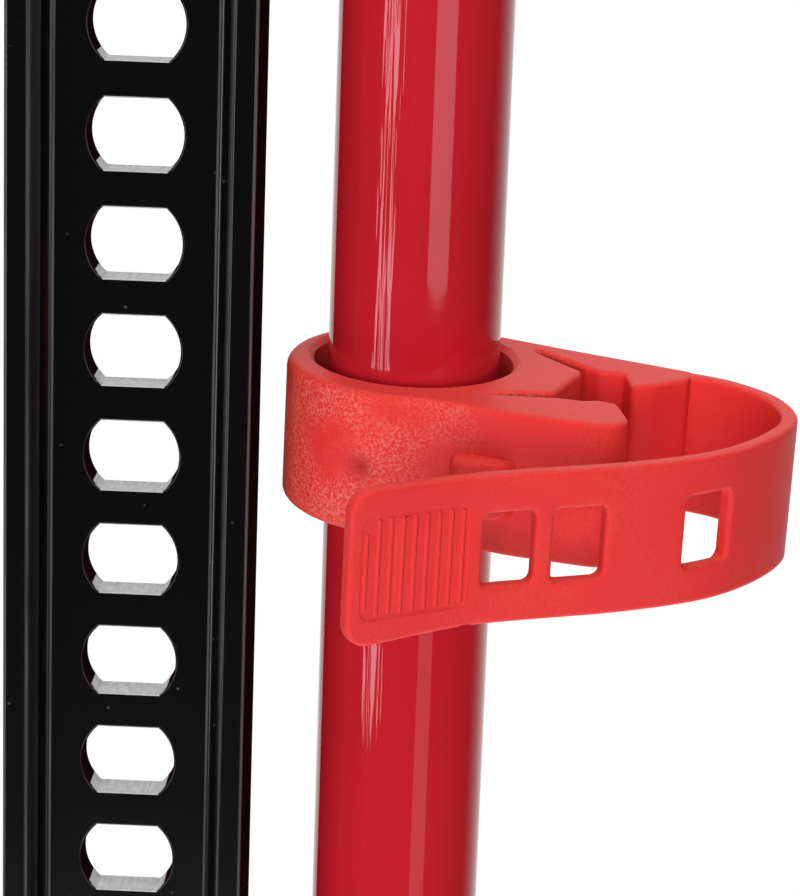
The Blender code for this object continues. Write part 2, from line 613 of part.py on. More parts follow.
def top_clamp(slide):
    """A collar round the top of the bar, split on the nose side, with two jaws that its bolt draws together."""
    right = BAR_WIDTH / 2 + RUNNING + CLAMP_SIDE
    left = SLEEVE_X
    deep, room = SLEEVE_Y, BAR_DEPTH / 2 + RUNNING
    side = BAR_WIDTH / 2 + RUNNING
    far = left + CLAMP_REACH
    slot = 4 * MM
    collar = rounded([(right, -deep, 4 * MM), (right, deep, 4 * MM), (-left, deep, 2 * MM),
                      (-far, deep - 4 * MM, 6 * MM), (-far, slot, 2 * MM), (-side, slot, 0), (-side, room, 0),
                      (side, room, 0), (side, -room, 0), (-side, -room, 0), (-side, -slot, 0),
                      (-far, -slot, 2 * MM), (-far, 4 * MM - deep, 6 * MM), (-left, -deep, 2 * MM)], 3)
    clamp = prism("top_clamp", [collar], CLAMP_BOTTOM, CLAMP_TOP)
    at = (-left - 16 * MM, (CLAMP_BOTTOM + CLAMP_TOP) / 2)
    cut(clamp, cylinder("bolt_hole", CLAMP_BOLT / 2 + GAP, -deep - 5 * MM, deep + 5 * MM, at))
    finish(clamp, RED_CAST, slide)
    face = deep + GAP
    finish(bolt("clamp_bolt", CLAMP_BOLT, -face, face + 14 * MM, at, 19 * MM, 7.5 * MM), ZINC, slide)
    finish(nut("clamp_nut", CLAMP_BOLT, face, face + 10 * MM, at, 19 * MM), ZINC, slide)


# ---------------------------------------------------------------- keeper

STRAP_ROUTE = [(47, 0.4), (58, -4.6), (65.8, -14), (66.4, -27), (55.5, -43), (39, -53.2), (12, -63.7),
               (-8.5, -75.2)]
WINDOW_MIDDLES = (29.6, 42.2, 66.6)  # from the strap's free end


def smooth_route(corners, steps=5):
    """Points of a smooth curve through the corners."""
    knots = [Vector(corner) * MM for corner in corners]
    knots = [2 * knots[0] - knots[1], *knots, 2 * knots[-1] - knots[-2]]
    points = []
    for a, b, c, d in zip(knots, knots[1:], knots[2:], knots[3:]):
        for step in range(steps):
            t = step / steps
            points.append(0.5 * (2 * b + (c - a) * t + (2 * a - 5 * b + 4 * c - d) * t ** 2
                                 + (3 * b - a - 3 * c + d) * t ** 3))
    return [*points, knots[-2]]


def ribbon(route, thickness):
    """The outline of a strap of this thickness along a route."""
    sides = ([], [])
    for index, here in enumerate(route):
        ahead = route[min(index + 1, len(route) - 1)] - route[max(index - 1, 0)]
        across = Vector((-ahead.y, ahead.x)).normalized() * thickness / 2
        sides[0].append(here + across)
        sides[1].append(here - across)
    return sides[0] + sides[1][::-1]


def along(route, distance):
    """The point at this distance from the route's last point, and the direction there."""
    for here, before in zip(route[::-1], route[-2::-1]):
        step = (before - here).length
        if distance <= step:
            heading = (before - here) / step
            return here + heading * distance, heading
        distance -= step
    return route[0], (route[0] - route[1]).normalized()


def handle_keeper(slide):
    """One moulding: a ring on the handle, a jaw with a pocket for the bar's edge, and a strap that loops
    round from the back to a ribbed tab."""
    low = -KEEPER_HEIGHT
    ring = KEEPER_RING / 2
    jaw = rounded([(-6, -24.6, 0), (4, -26.2, 0), (20, -31.6, 30), (39.6, -36.2, 4.5), (36.8, -21.6, 1.0),
                   (33.4, -20.2, 1), (30.6, -20.9, 1), (26, -20.0, 2), (12, -20.3, 0.4), (12, -19.2, 0.4),
                   (25.6, -17.4, 1.2), (31.2, -3.6, 1.2), (22.8, 7.2, 0.3), (23.4, 8.5, 0.3),
                   (31.0, 0.4, 6), (34.4, -3.2, 1), (38.8, -3.2, 1), (39.9, -11.4, 1), (44, -9.8, 4),
                   (50.4, -5.0, 3), (52.0, 0.0, 0.8), (27.4, 10.8, 40), (9.6, 19.2, 0), (0, 16, 0), (-9, 10, 0)], 3)
    body = prism("handle_keeper", [[point * MM for point in jaw]], low, 0)
    join(body, cylinder("ring", ring, low, 0, (0.2 * MM, RING_SHIFT), "Z", 48))
    route = smooth_route(STRAP_ROUTE)
    join(body, prism("strap", [ribbon(route, STRAP_THICKNESS)], low + STRAP_LIFT, low + STRAP_LIFT + STRAP_HEIGHT))
    tab = [route[-1] + (route[-1] - route[-2]).normalized() * 0.1 * MM, along(route, 23 * MM)[0]]
    panel = prism("tab", [ribbon(tab, STRAP_THICKNESS * 1.1)], low - 0.6 * MM,
                  low + STRAP_LIFT + 0.3 * MM + STRAP_HEIGHT)
    join(body, panel)
    peg = [(8.4, -25), (8.4, -34.6), (12.6, -34.6), (13.4, -32.8), (20.8, -33.6), (22, -29)]
    middle = low / 2
    join(body, prism("peg", [[Vector(point) * MM for point in peg]], middle - 6 * MM, middle + 6 * MM))
    cut(body, cylinder("bore", KEEPER_BORE / 2, low - 5 * MM, 5 * MM, (0, 0), "Z", 40))
    for distance in WINDOW_MIDDLES:
        centre, heading = along(route, distance * MM)
        window = prism("window", [rectangle(WINDOW[0] / 2, WINDOW[1] / 2, 1.5 * MM)],
                       -3 * MM, 3 * MM, "Y")
        window.location = (centre.x, centre.y, low + STRAP_LIFT + STRAP_HEIGHT / 2)
        window.rotation_euler = (pi / 2, 0, atan2(heading.y, heading.x))
        cut(body, window)
    place_keeper(body)
    return finish(body, ORANGE_RED, slide)


def place_keeper(body):
    """Moves the keeper and what shapes it from its own frame to its place on the handle."""
    bpy.context.view_layer.update()
    seat = Matrix.Translation((HANDLE_OFFSET, 0, KEEPER_Z))
    seat = seat @ Matrix.Rotation(KEEPER_ROLL, 4, "Y") @ Matrix.Rotation(KEEPER_TILT, 4, "X")
    for modifier in body.modifiers:
        modifier.object.matrix_world = seat @ modifier.object.matrix_world
    body.matrix_world = seat @ body.matrix_world
    bpy.context.view_layer.update()


def build():
    rack_bar()
    base_plate()
    foot_pin()
    top_clamp(joint_empty("clamp_slide", (0, 0, CLAMP_TOP)))
    carriage = joint_empty("carriage_slide", (0, 0, LARGE_BOTTOM))
    follower = joint_empty("small_runner_slide", (0, 0, LOWER_PIN_Z), carriage)
    lever = joint_empty("handle_pivot", (PIVOT_X, 0, PIVOT_Z), carriage)
    large_runner(carriage)
    small_runner(follower)
    climbing_pin("upper", UPPER_PIN_Z, carriage)
    climbing_pin("lower", LOWER_PIN_Z, follower, PIN_STROKE)
    reversing_latch(carriage)
    pivot_fasteners(carriage)
    handle_socket(lever)
    handle_tube(lever)
    handle_fasteners(lever)
    pitman(joint_empty("pitman_swing", (CRANK_X, 0, CRANK_Z), lever))
    pitman_pins(lever, follower)
    handle_keeper(joint_empty("keeper_slide", (HANDLE_OFFSET, 0, KEEPER_Z), lever))


build()
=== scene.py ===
# %% [markdown]
# # A farm jack, finished for a close look
# The jack is a punched steel bar with a foot, a carriage that climbs the bar hole by hole, a long
# handle, and a soft moulded keeper that slides on the handle and holds it against the bar. Its solids
# are already made, at their real size, as the frame. This lesson gives each of them its real surface.
# Where a plain solid is too coarse for a close look, a finer piece is built in its place.

# %% Load the frame
import json
from math import cos, pi, radians, sin, tan

import bpy
from mathutils import Matrix, Vector


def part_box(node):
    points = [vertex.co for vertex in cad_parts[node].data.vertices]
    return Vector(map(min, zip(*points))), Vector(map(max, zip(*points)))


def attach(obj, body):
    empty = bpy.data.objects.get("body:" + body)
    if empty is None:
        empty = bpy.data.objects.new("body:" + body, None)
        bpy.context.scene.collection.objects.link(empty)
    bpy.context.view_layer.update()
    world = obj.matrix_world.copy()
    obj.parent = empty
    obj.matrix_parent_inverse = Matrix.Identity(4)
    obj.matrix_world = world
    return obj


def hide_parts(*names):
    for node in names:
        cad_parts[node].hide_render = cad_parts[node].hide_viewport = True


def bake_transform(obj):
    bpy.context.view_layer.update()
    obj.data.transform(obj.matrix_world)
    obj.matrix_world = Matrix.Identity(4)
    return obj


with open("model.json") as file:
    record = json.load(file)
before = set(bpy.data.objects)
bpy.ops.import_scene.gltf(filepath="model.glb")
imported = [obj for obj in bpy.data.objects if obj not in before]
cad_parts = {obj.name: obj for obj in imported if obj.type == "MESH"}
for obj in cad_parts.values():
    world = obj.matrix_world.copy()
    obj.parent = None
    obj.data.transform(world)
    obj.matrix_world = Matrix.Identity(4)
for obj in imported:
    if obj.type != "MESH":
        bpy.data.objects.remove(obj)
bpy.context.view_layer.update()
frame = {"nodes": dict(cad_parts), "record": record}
BODY_OF = {node: body for body, nodes in frame["record"]["behaviour"]["bodies"].items() for node in nodes}
MM = 0.001

# %% [markdown]
# ## The camera
# The view is a close one, on the middle of the bar: a long lens, half a metre away and a little above,
# so that the bar's sides stay nearly parallel. The camera aims from one of the bar's holes, which is a
# place that doesn't move when a size changes. A small roll matches the hand that held the camera.

# %% Camera
scene = bpy.context.scene
HOLE_PITCH = 20 * MM
bar_low, bar_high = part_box("rack_bar")
VIEW_HOLE = 38  # counted from the bar's foot, the lowest hole being 0
CAMERA_PLACE = Vector((0.059142, -0.520115, 0.054832))  # from that hole, in metres
CAMERA_TURN, CAMERA_DROP, CAMERA_ROLL = 0.0181388, 0.248644, 0.0363279
view_hole = Vector((0, 0, bar_low.z + HOLE_PITCH * (VIEW_HOLE + 1)))
bpy.ops.object.camera_add(location=view_hole + CAMERA_PLACE)
camera = bpy.context.object
camera.rotation_euler = (Matrix.Rotation(CAMERA_TURN, 3, "Z") @ Matrix.Rotation(pi / 2 - CAMERA_DROP, 3, "X")
                         @ Matrix.Rotation(CAMERA_ROLL, 3, "Z")).to_euler()
camera.data.sensor_width = 36
camera.data.lens = 115.64  # mm, both
camera.data.clip_start = 0.01
scene.camera = camera
print("the camera looks at the hole at", round(view_hole.z, 4), "m")

# %% [markdown]
# ## Light
# A bright, even product light. Black gloss paint only stays black if what it mirrors is dark, so the
# room in front of the jack is dim and the room behind it is white, which also gives round pieces their
# pale rims. The big soft lights are kept out of mirror reflections, and three strips are seen only as
# reflections: they draw the thin vertical highlights on the handle and the bar's corners.

# %% Room and lights
world = bpy.data.worlds.new("studio")
scene.world = world
world.use_nodes = True


def add(tree, kind, inputs=(), **settings):
    """Adds one node. Settings are its own properties; inputs are values, or another node's output."""
    made = tree.nodes.new(kind)
    for name, value in settings.items():
        setattr(made, name, value)
    for socket, value in dict(inputs).items():
        if isinstance(value, bpy.types.NodeSocket):
            tree.links.new(value, made.inputs[socket])
        else:
            made.inputs[socket].default_value = value
    return made


room = world.node_tree
room.nodes.clear()
FRONT_GLOW, BACK_GLOW = 0.05, 1.0
GLOW_FROM, GLOW_TO = 0.25, 0.9
heading = add(room, "ShaderNodeTexCoord").outputs["Generated"]
backward = add(room, "ShaderNodeSeparateXYZ", {0: heading}).outputs["Y"]
glow = add(room, "ShaderNodeMapRange", {"Value": backward, "From Min": GLOW_FROM, "From Max": GLOW_TO,
                                        "To Min": FRONT_GLOW, "To Max": BACK_GLOW},
           interpolation_type="SMOOTHSTEP").outputs["Result"]
seen = add(room, "ShaderNodeLightPath").outputs["Is Camera Ray"]
strength = add(room, "ShaderNodeMix", {"Factor": seen, "A": glow, "B": 1.0}).outputs["Result"]
background = add(room, "ShaderNodeBackground", {"Color": (1, 1, 1, 1), "Strength": strength})
add(room, "ShaderNodeOutputWorld", {"Surface": background.outputs["Background"]})


PLAIN_WHITE, MIRRORED_TINT = (1, 1, 1), (1.0, 0.86, 0.94)


def lamp(name, azimuth, height, distance, size, power, mirrored):
    """A rectangular light aimed at the hole that the camera looks at. Azimuth and height are angles in
    degrees: azimuth 0 is the camera's side, positive to the right. A mirrored one is seen only in
    reflections, and the others never are."""
    turn, rise = radians(azimuth), radians(height)
    away = Vector((sin(turn) * cos(rise), -cos(turn) * cos(rise), sin(rise)))
    bpy.ops.object.light_add(type="AREA", location=view_hole + away * distance)
    made = bpy.context.object
    made.name = name
    made.rotation_euler = away.to_track_quat("Z", "Y").to_euler()
    made.data.shape = "RECTANGLE"
    made.data.size, made.data.size_y = size
    made.data.energy = power
    made.visible_glossy = mirrored
    made.visible_diffuse = not mirrored
    made.visible_camera = False
    made.data.color = MIRRORED_TINT if mirrored else PLAIN_WHITE
    return made


lamp("soft_front", -6, 5, 2.2, (1.1, 0.9), 37, False)
lamp("soft_top", 10, 82, 2.0, (1.4, 1.4), 34, False)
lamp("strip_left", -43, 4, 2.4, (0.5, 2.4), 20, True)
lamp("strip_right", 29, 6.8, 2.4, (1.2, 1.65), 12.1, True)
lamp("strip_right_low", 32, -20.8, 2.4, (0.75, 0.6), 1.35, True)
scene.view_settings.view_transform = "Standard"

# %% [markdown]
# ## Floor
# A plain pale disc, bright enough to melt into the white room. It stays small, so that the bar's face
# doesn't mirror it from the dark side of the room.

# %% Floor
FLOOR_RADIUS = 1.2
bpy.ops.mesh.primitive_circle_add(vertices=96, radius=FLOOR_RADIUS, fill_type="NGON", location=(0, 0, 0))
floor = bpy.context.object
floor.name = "floor"
floor_paint = bpy.data.materials.new("pale_floor")
floor_paint.use_nodes = True
floor_shader = floor_paint.node_tree.nodes["Principled BSDF"]
FLOOR_GREY, FLOOR_GLOW = 0.8, 0.75
floor_shader.inputs["Base Color"].default_value = (FLOOR_GREY, FLOOR_GREY, FLOOR_GREY, 1)
floor_shader.inputs["Roughness"].default_value = 0.9
floor_shader.inputs["Emission Color"].default_value = (1, 1, 1, 1)
floor_shader.inputs["Emission Strength"].default_value = FLOOR_GLOW
floor.data.materials.append(floor_paint)

# %% [markdown]
# ## Colours and the start of a finish
# Colours are written as the hex values that a screen shows, and one function turns them to the linear
# numbers that a shader wants. Patterns are laid out in object space, where a unit is a metre, so a
# pattern's scale is one over the size of its features.


# %% Colour and finish helpers
def srgb(code):
    """A colour like #A0B0C0 as linear red, green, blue and an alpha of 1."""
    parts = [int(code[i:i + 2], 16) / 255 for i in (1, 3, 5)]
    return (*[p / 12.92 if p <= 0.04045 else ((p + 0.055) / 1.055) ** 2.4 for p in parts], 1)


def grain(size):
    """The scale of a pattern whose features are this big, in metres."""
    return 1 / size


def new_finish(name, roughness, metallic=0.0):
    """A material with a Principled shader: returns the material, its tree, the shader and its coordinates."""
    made = bpy.data.materials.new(name)
    made.use_nodes = True
    tree = made.node_tree
    shader = tree.nodes["Principled BSDF"]
    shader.inputs["Roughness"].default_value = roughness
    shader.inputs["Metallic"].default_value = metallic
    place = add(tree, "ShaderNodeTexCoord").outputs["Object"]
    return made, tree, shader, place


# %% [markdown]
# ## Red powder coat
# The handle is tube with a glossy red powder coat. Powder melts and flows as it bakes, and leaves
# a skin that is smooth to the touch but faintly rippled, so a straight lamp comes back as a few thin,
# wavy lines. The ripples run along the tube: their noise is drawn out along it, and shows only beside
# the tube's weld seam, where the scarfing tool ran. A second, coarser and much shallower noise is the
# orange peel of the cured powder.

# %% Red powder coat
powder, tree, shader, place = new_finish("red_powder_coat", 0.04)
drift = add(tree, "ShaderNodeTexNoise", {"Vector": place, "Scale": grain(45 * MM), "Detail": 2.0}).outputs["Fac"]
shade = add(tree, "ShaderNodeValToRGB", {"Fac": drift})
shade.color_ramp.elements[0].color = srgb("#B41A27")
shade.color_ramp.elements[1].color = srgb("#C41F2D")
tree.links.new(shade.outputs["Color"], shader.inputs["Base Color"])
tube_low, tube_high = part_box("handle_tube")
tube_middle, tube_radius = (tube_low + tube_high) / 2, (tube_high.y - tube_low.y) / 2
centred = add(tree, "ShaderNodeMapping", {"Vector": place, "Location": (-tube_middle.x, -tube_middle.y, 0)})
parts = add(tree, "ShaderNodeSeparateXYZ", {0: centred.outputs["Vector"]})
SEAM_AT, SEAM_HALF = radians(-20), radians(13)  # its middle, left of the tube's front, and half its width
RIPPLE_STRETCH, RIPPLE_DEPTH, PEEL_DEPTH = 0.025, 0.2 * MM, 0.006 * MM
turned = add(tree, "ShaderNodeMath", {0: parts.outputs["X"], 1: parts.outputs["Y"]}, operation="ARCTAN2")
turned = add(tree, "ShaderNodeMath", {0: turned.outputs["Value"], 1: pi + SEAM_AT}, operation="ADD")
off = add(tree, "ShaderNodeMath", {0: turned.outputs["Value"], 1: 2 * pi}, operation="MODULO").outputs["Value"]
off = add(tree, "ShaderNodeMath", {0: off}, operation="ABSOLUTE").outputs["Value"]
by_seam = add(tree, "ShaderNodeMapRange", {"Value": off, "From Min": SEAM_HALF * 0.6, "From Max": SEAM_HALF,
                                           "To Min": 1.0, "To Max": 0.0}).outputs["Result"]
stretched = add(tree, "ShaderNodeMapping", {"Vector": place, "Scale": (1, 1, RIPPLE_STRETCH)}).outputs["Vector"]
ripple = add(tree, "ShaderNodeTexNoise", {"Vector": stretched, "Scale": grain(0.8 * MM), "Detail": 1.0})
lines = add(tree, "ShaderNodeMath", {0: ripple.outputs["Fac"], 1: by_seam}, operation="MULTIPLY").outputs["Value"]
peel = add(tree, "ShaderNodeTexNoise", {"Vector": place, "Scale": grain(4 * MM), "Detail": 1.0})
waves = add(tree, "ShaderNodeBump", {"Height": lines, "Strength": 1.0, "Distance": RIPPLE_DEPTH})
skin = add(tree, "ShaderNodeBump", {"Height": peel.outputs["Fac"], "Strength": 1.0, "Distance": PEEL_DEPTH,
                                    "Normal": waves.outputs["Normal"]})
tree.links.new(skin.outputs["Normal"], shader.inputs["Normal"])

# %% [markdown]
# ## Red enamel on cast iron
# The runners, the foot, the handle socket and the clamp are sand castings, dipped in the same red. The
# sand leaves a grainy, slightly lumpy skin that the paint only half fills, so its gloss is broken.

# %% Red enamel on castings
enamel, tree, shader, place = new_finish("red_enamel_on_cast_iron", 0.34)
drift = add(tree, "ShaderNodeTexNoise", {"Vector": place, "Scale": grain(22 * MM), "Detail": 4.0}).outputs["Fac"]
shade = add(tree, "ShaderNodeValToRGB", {"Fac": drift})
shade.color_ramp.elements[0].position, shade.color_ramp.elements[1].position = 0.3, 0.75
shade.color_ramp.elements[0].color = srgb("#A5161F")
shade.color_ramp.elements[1].color = srgb("#BD1E29")
tree.links.new(shade.outputs["Color"], shader.inputs["Base Color"])
sand = add(tree, "ShaderNodeTexNoise", {"Vector": place, "Scale": grain(1.3 * MM), "Detail": 3.0})
lumps = add(tree, "ShaderNodeTexNoise", {"Vector": place, "Scale": grain(9 * MM), "Detail": 1.0})
rough = add(tree, "ShaderNodeMapRange", {"Value": sand.outputs["Fac"], "To Min": 0.26, "To Max": 0.46})
tree.links.new(rough.outputs["Result"], shader.inputs["Roughness"])
swell = add(tree, "ShaderNodeBump", {"Height": lumps.outputs["Fac"], "Strength": 1.0, "Distance": 0.35 * MM})
skin = add(tree, "ShaderNodeBump", {"Height": sand.outputs["Fac"], "Strength": 1.0, "Distance": 0.11 * MM,
                                    "Normal": swell.outputs["Normal"]})
tree.links.new(skin.outputs["Normal"], shader.inputs["Normal"])

# %% [markdown]
# ## Black gloss enamel
# The bar is hot-rolled steel, punched and then painted black. Its faces mirror the dim room and stay
# nearly black. Handling leaves a few specks of pale dust. Thin grey lines along the section's corners
# and fillets, running the length of the bar, are painted highlights of the lamps on those corners. A
# line's place is measured from the bar's middle.

# %% Black gloss enamel
black, tree, shader, place = new_finish("black_gloss_enamel", 0.17)
specks = add(tree, "ShaderNodeTexVoronoi", {"Vector": place, "Scale": grain(3.5 * MM), "Randomness": 1.0})
where = add(tree, "ShaderNodeTexNoise", {"Vector": place, "Scale": grain(14 * MM), "Detail": 2.0}).outputs["Fac"]
dot = add(tree, "ShaderNodeMapRange", {"Value": specks.outputs["Distance"], "From Min": 0.05, "From Max": 0.11,
                                       "To Min": 1.0, "To Max": 0.0}).outputs["Result"]
patch = add(tree, "ShaderNodeMapRange", {"Value": where, "From Min": 0.52, "From Max": 0.66}).outputs["Result"]
dust = add(tree, "ShaderNodeMath", {0: dot, 1: patch}, operation="MULTIPLY").outputs["Value"]
across = add(tree, "ShaderNodeSeparateXYZ", {0: place}).outputs["X"]
across = add(tree, "ShaderNodeMath", {0: across}, operation="ABSOLUTE").outputs["Value"]
FLANGE_TIP, FLANGE_ROOT, ROOT_FILLET = 4.5 * MM, 6.3 * MM, 1.4 * MM
half_width = (bar_high.x - bar_low.x) / 2
# Painted highlights: grey lines where the lamps would glint on the corners and fillets.
PAINTED_HIGHLIGHT_LINES = ((half_width - 0.3 * MM, 0.3 * MM), (half_width - FLANGE_TIP, 0.34 * MM),
          (half_width - FLANGE_ROOT - ROOT_FILLET, 0.3 * MM))  # each line's place and half its width
painted_highlight = None
for middle, half in PAINTED_HIGHLIGHT_LINES:
    off = add(tree, "ShaderNodeMath", {0: across, 1: middle}, operation="SUBTRACT").outputs["Value"]
    off = add(tree, "ShaderNodeMath", {0: off}, operation="ABSOLUTE").outputs["Value"]
    line = add(tree, "ShaderNodeMapRange", {"Value": off, "From Min": 0.2 * half, "From Max": half,
                                            "To Min": 1.0, "To Max": 0.0}).outputs["Result"]
    painted_highlight = line if painted_highlight is None else add(tree, "ShaderNodeMath", {0: painted_highlight, 1: line},
                                             operation="MAXIMUM").outputs["Value"]
# The painted highlight lines fade in and out along the bar.
highlight_fade_along = add(tree, "ShaderNodeMapping", {"Vector": place, "Scale": (1, 1, 0.08)}).outputs["Vector"]
highlight_fade = add(tree, "ShaderNodeTexNoise", {"Vector": highlight_fade_along, "Scale": grain(3 * MM), "Detail": 3.0})
highlight_fade = add(tree, "ShaderNodeMapRange", {"Value": highlight_fade.outputs["Fac"], "From Min": 0.3, "From Max": 0.6,
                                        "To Min": 0.45, "To Max": 1.0}).outputs["Result"]
painted_highlight = add(tree, "ShaderNodeMath", {0: painted_highlight, 1: highlight_fade}, operation="MULTIPLY").outputs["Value"]
colour = add(tree, "ShaderNodeMix", {"Factor": dust, "A": srgb("#050506"), "B": srgb("#4A4845")},
             data_type="RGBA")
# The grey painted highlight goes over the paint and its dust.
colour = add(tree, "ShaderNodeMix", {"Factor": painted_highlight, "A": colour.outputs["Result"], "B": srgb("#5A595C")},
             data_type="RGBA")
tree.links.new(colour.outputs["Result"], shader.inputs["Base Color"])
run = add(tree, "ShaderNodeMapping", {"Vector": place, "Scale": (1, 1, 0.25)}).outputs["Vector"]
flow = add(tree, "ShaderNodeTexNoise", {"Vector": run, "Scale": grain(4 * MM), "Detail": 2.0})
skin = add(tree, "ShaderNodeBump", {"Height": flow.outputs["Fac"], "Strength": 1.0, "Distance": 0.05 * MM})
tree.links.new(skin.outputs["Normal"], shader.inputs["Normal"])

# %% [markdown]
# The bar's two narrow sides and the round walls of its holes take the least paint, and stay dull. They
# have their own, matt finish, whose dark red tint is a painted red reflection.

# %% Dull black sides
dull, tree, shader, place = new_finish("dull_black_painted_red_reflection", 0.7)
shader.inputs["Specular IOR Level"].default_value = 0.0
drift = add(tree, "ShaderNodeTexNoise", {"Vector": place, "Scale": grain(5 * MM), "Detail": 3.0}).outputs["Fac"]
# Dark red tint: a painted red reflection, not the paint's own colour.
shade = add(tree, "ShaderNodeValToRGB", {"Fac": drift})
shade.color_ramp.elements[0].color = srgb("#140A0C")
shade.color_ramp.elements[1].color = srgb("#281416")
tree.links.new(shade.outputs["Color"], shader.inputs["Base Color"])

# %% [markdown]
# ## The punched walls of the holes
# A punch shears the steel, and leaves the flats inside a hole torn and matt. Their pale colour is a
# painted reflection of the white room behind the jack, darker next to the front face.

# %% Punched hole walls
hole_flats_reflection, tree, shader, place = new_finish("hole_flats_painted_reflection", 0.55, 0.0)
tear = add(tree, "ShaderNodeMapping", {"Vector": place, "Scale": (1, 0.25, 1)}).outputs["Vector"]
torn = add(tree, "ShaderNodeTexNoise", {"Vector": tear, "Scale": grain(0.8 * MM), "Detail": 3.0})
# Pale colour: a painted reflection of the white room behind the jack.
shade = add(tree, "ShaderNodeValToRGB", {"Fac": torn.outputs["Fac"]})
shade.color_ramp.elements[0].position, shade.color_ramp.elements[1].position = 0.25, 0.7
shade.color_ramp.elements[0].color = srgb("#CFCFD0")
shade.color_ramp.elements[1].color = srgb("#F4F4F4")
# Darker next to the front face: part of the painted reflection.
FRONT_DARK_FROM, FRONT_DARK_TO, FRONT_DARK_MOST = -3.4 * MM, 0.6 * MM, 0.35
into_hole = add(tree, "ShaderNodeSeparateXYZ", {0: place}).outputs["Y"]
front_dark = add(tree, "ShaderNodeMapRange", {"Value": into_hole, "From Min": FRONT_DARK_FROM, "From Max": FRONT_DARK_TO,
                                           "To Min": FRONT_DARK_MOST, "To Max": 0.0}).outputs["Result"]
wall = add(tree, "ShaderNodeMix", {"Factor": front_dark, "A": shade.outputs["Color"], "B": srgb("#6A6A6C")},
           data_type="RGBA")
tree.links.new(wall.outputs["Result"], shader.inputs["Base Color"])
skin = add(tree, "ShaderNodeBump", {"Height": torn.outputs["Fac"], "Strength": 1.0, "Distance": 0.06 * MM})
tree.links.new(skin.outputs["Normal"], shader.inputs["Normal"])

# %% [markdown]
# ## The keeper's elastomer
# The keeper is injection-moulded from a soft thermoplastic elastomer in a warm orange red. Such a
# material is satin, not glossy. A pale bloom comes to its surface in fine, worm-like specks, thickest on
# the ring's front and even on the faces that look up. Round the gate, where the plastic came in, a dish
# stays deep red. The keeper's seat on the handle comes first, because it says where the gate is.

# %% Keeper elastomer
KEEPER_HEIGHT, KEEPER_TILT, KEEPER_ROLL = 26.8 * MM, radians(4.6), radians(1.0)
KEEPER_BELOW_HOLE = 59.5 * MM  # from the camera's hole down to the keeper's top
seat = Matrix.Translation((tube_middle.x, 0, view_hole.z - KEEPER_BELOW_HOLE))
seat = seat @ Matrix.Rotation(KEEPER_ROLL, 4, "Y") @ Matrix.Rotation(KEEPER_TILT, 4, "X")
gate = Vector((-8.5 * MM, -23.9 * MM, -14 * MM))
rubber, tree, shader, place = new_finish("moulded_elastomer", 0.5)
shader.inputs["Specular IOR Level"].default_value = 0.22
swirl = add(tree, "ShaderNodeTexNoise", {"Vector": place, "Scale": grain(5 * MM), "Detail": 2.0})
SWIRL = 3 * MM
bent = add(tree, "ShaderNodeVectorMath", {0: swirl.outputs["Color"], 1: (SWIRL, SWIRL, SWIRL)},
           operation="MULTIPLY").outputs["Vector"]
wandering = add(tree, "ShaderNodeVectorMath", {0: place, 1: bent}, operation="ADD").outputs["Vector"]
worms = add(tree, "ShaderNodeTexNoise", {"Vector": wandering, "Scale": grain(0.5 * MM), "Detail": 1.5})
worm = add(tree, "ShaderNodeMapRange", {"Value": worms.outputs["Fac"], "From Min": 0.42, "From Max": 0.62})
broad = add(tree, "ShaderNodeTexNoise", {"Vector": place, "Scale": grain(13 * MM), "Detail": 2.0})
patch = add(tree, "ShaderNodeMapRange", {"Value": broad.outputs["Fac"], "From Min": 0.36, "From Max": 0.6})
away = add(tree, "ShaderNodeVectorMath", {0: place, 1: tuple(-x for x in seat.translation)}, operation="ADD")
away = add(tree, "ShaderNodeVectorMath", {0: away.outputs["Vector"], 1: (1, 1, 0)}, operation="MULTIPLY")
away = add(tree, "ShaderNodeVectorMath", {0: away.outputs["Vector"]}, operation="LENGTH").outputs["Value"]
on_ring = add(tree, "ShaderNodeMapRange", {"Value": away, "From Min": 26 * MM, "From Max": 33 * MM,
                                           "To Min": 0.3, "To Max": 0.04}).outputs["Result"]
front = add(tree, "ShaderNodeMath", {0: worm.outputs["Result"], 1: patch.outputs["Result"]},
            operation="MULTIPLY").outputs["Value"]
front = add(tree, "ShaderNodeMath", {0: front, 1: on_ring}, operation="MULTIPLY").outputs["Value"]
facing = add(tree, "ShaderNodeSeparateXYZ", {0: add(tree, "ShaderNodeNewGeometry").outputs["Normal"]})
upward = add(tree, "ShaderNodeMapRange", {"Value": facing.outputs["Z"], "From Min": 0.3, "From Max": 0.95})
top = add(tree, "ShaderNodeMapRange", {"Value": worms.outputs["Fac"], "From Min": 0.3, "From Max": 0.7,
                                       "To Min": 0.02, "To Max": 0.12}).outputs["Result"]
bloom = add(tree, "ShaderNodeMix", {"Factor": upward.outputs["Result"], "A": front, "B": top}).outputs["Result"]
from_gate = add(tree, "ShaderNodeVectorMath", {0: place, 1: tuple(seat @ gate)}, operation="DISTANCE")
spot = add(tree, "ShaderNodeMapRange", {"Value": from_gate.outputs["Value"], "From Min": 0.8 * MM,
                                        "From Max": 3.6 * MM, "To Min": 1.0, "To Max": 0.0}).outputs["Result"]
skin_colour = add(tree, "ShaderNodeMix", {"Factor": bloom, "A": srgb("#DF3230"), "B": srgb("#EFA88E")},
                  data_type="RGBA")
colour = add(tree, "ShaderNodeMix", {"Factor": spot, "A": skin_colour.outputs["Result"], "B": srgb("#BC2D2B")},
             data_type="RGBA")
tree.links.new(colour.outputs["Result"], shader.inputs["Base Color"])
fine = add(tree, "ShaderNodeTexNoise", {"Vector": place, "Scale": grain(0.7 * MM), "Detail": 2.0})
skin = add(tree, "ShaderNodeBump", {"Height": fine.outputs["Fac"], "Strength": 1.0, "Distance": 0.012 * MM})
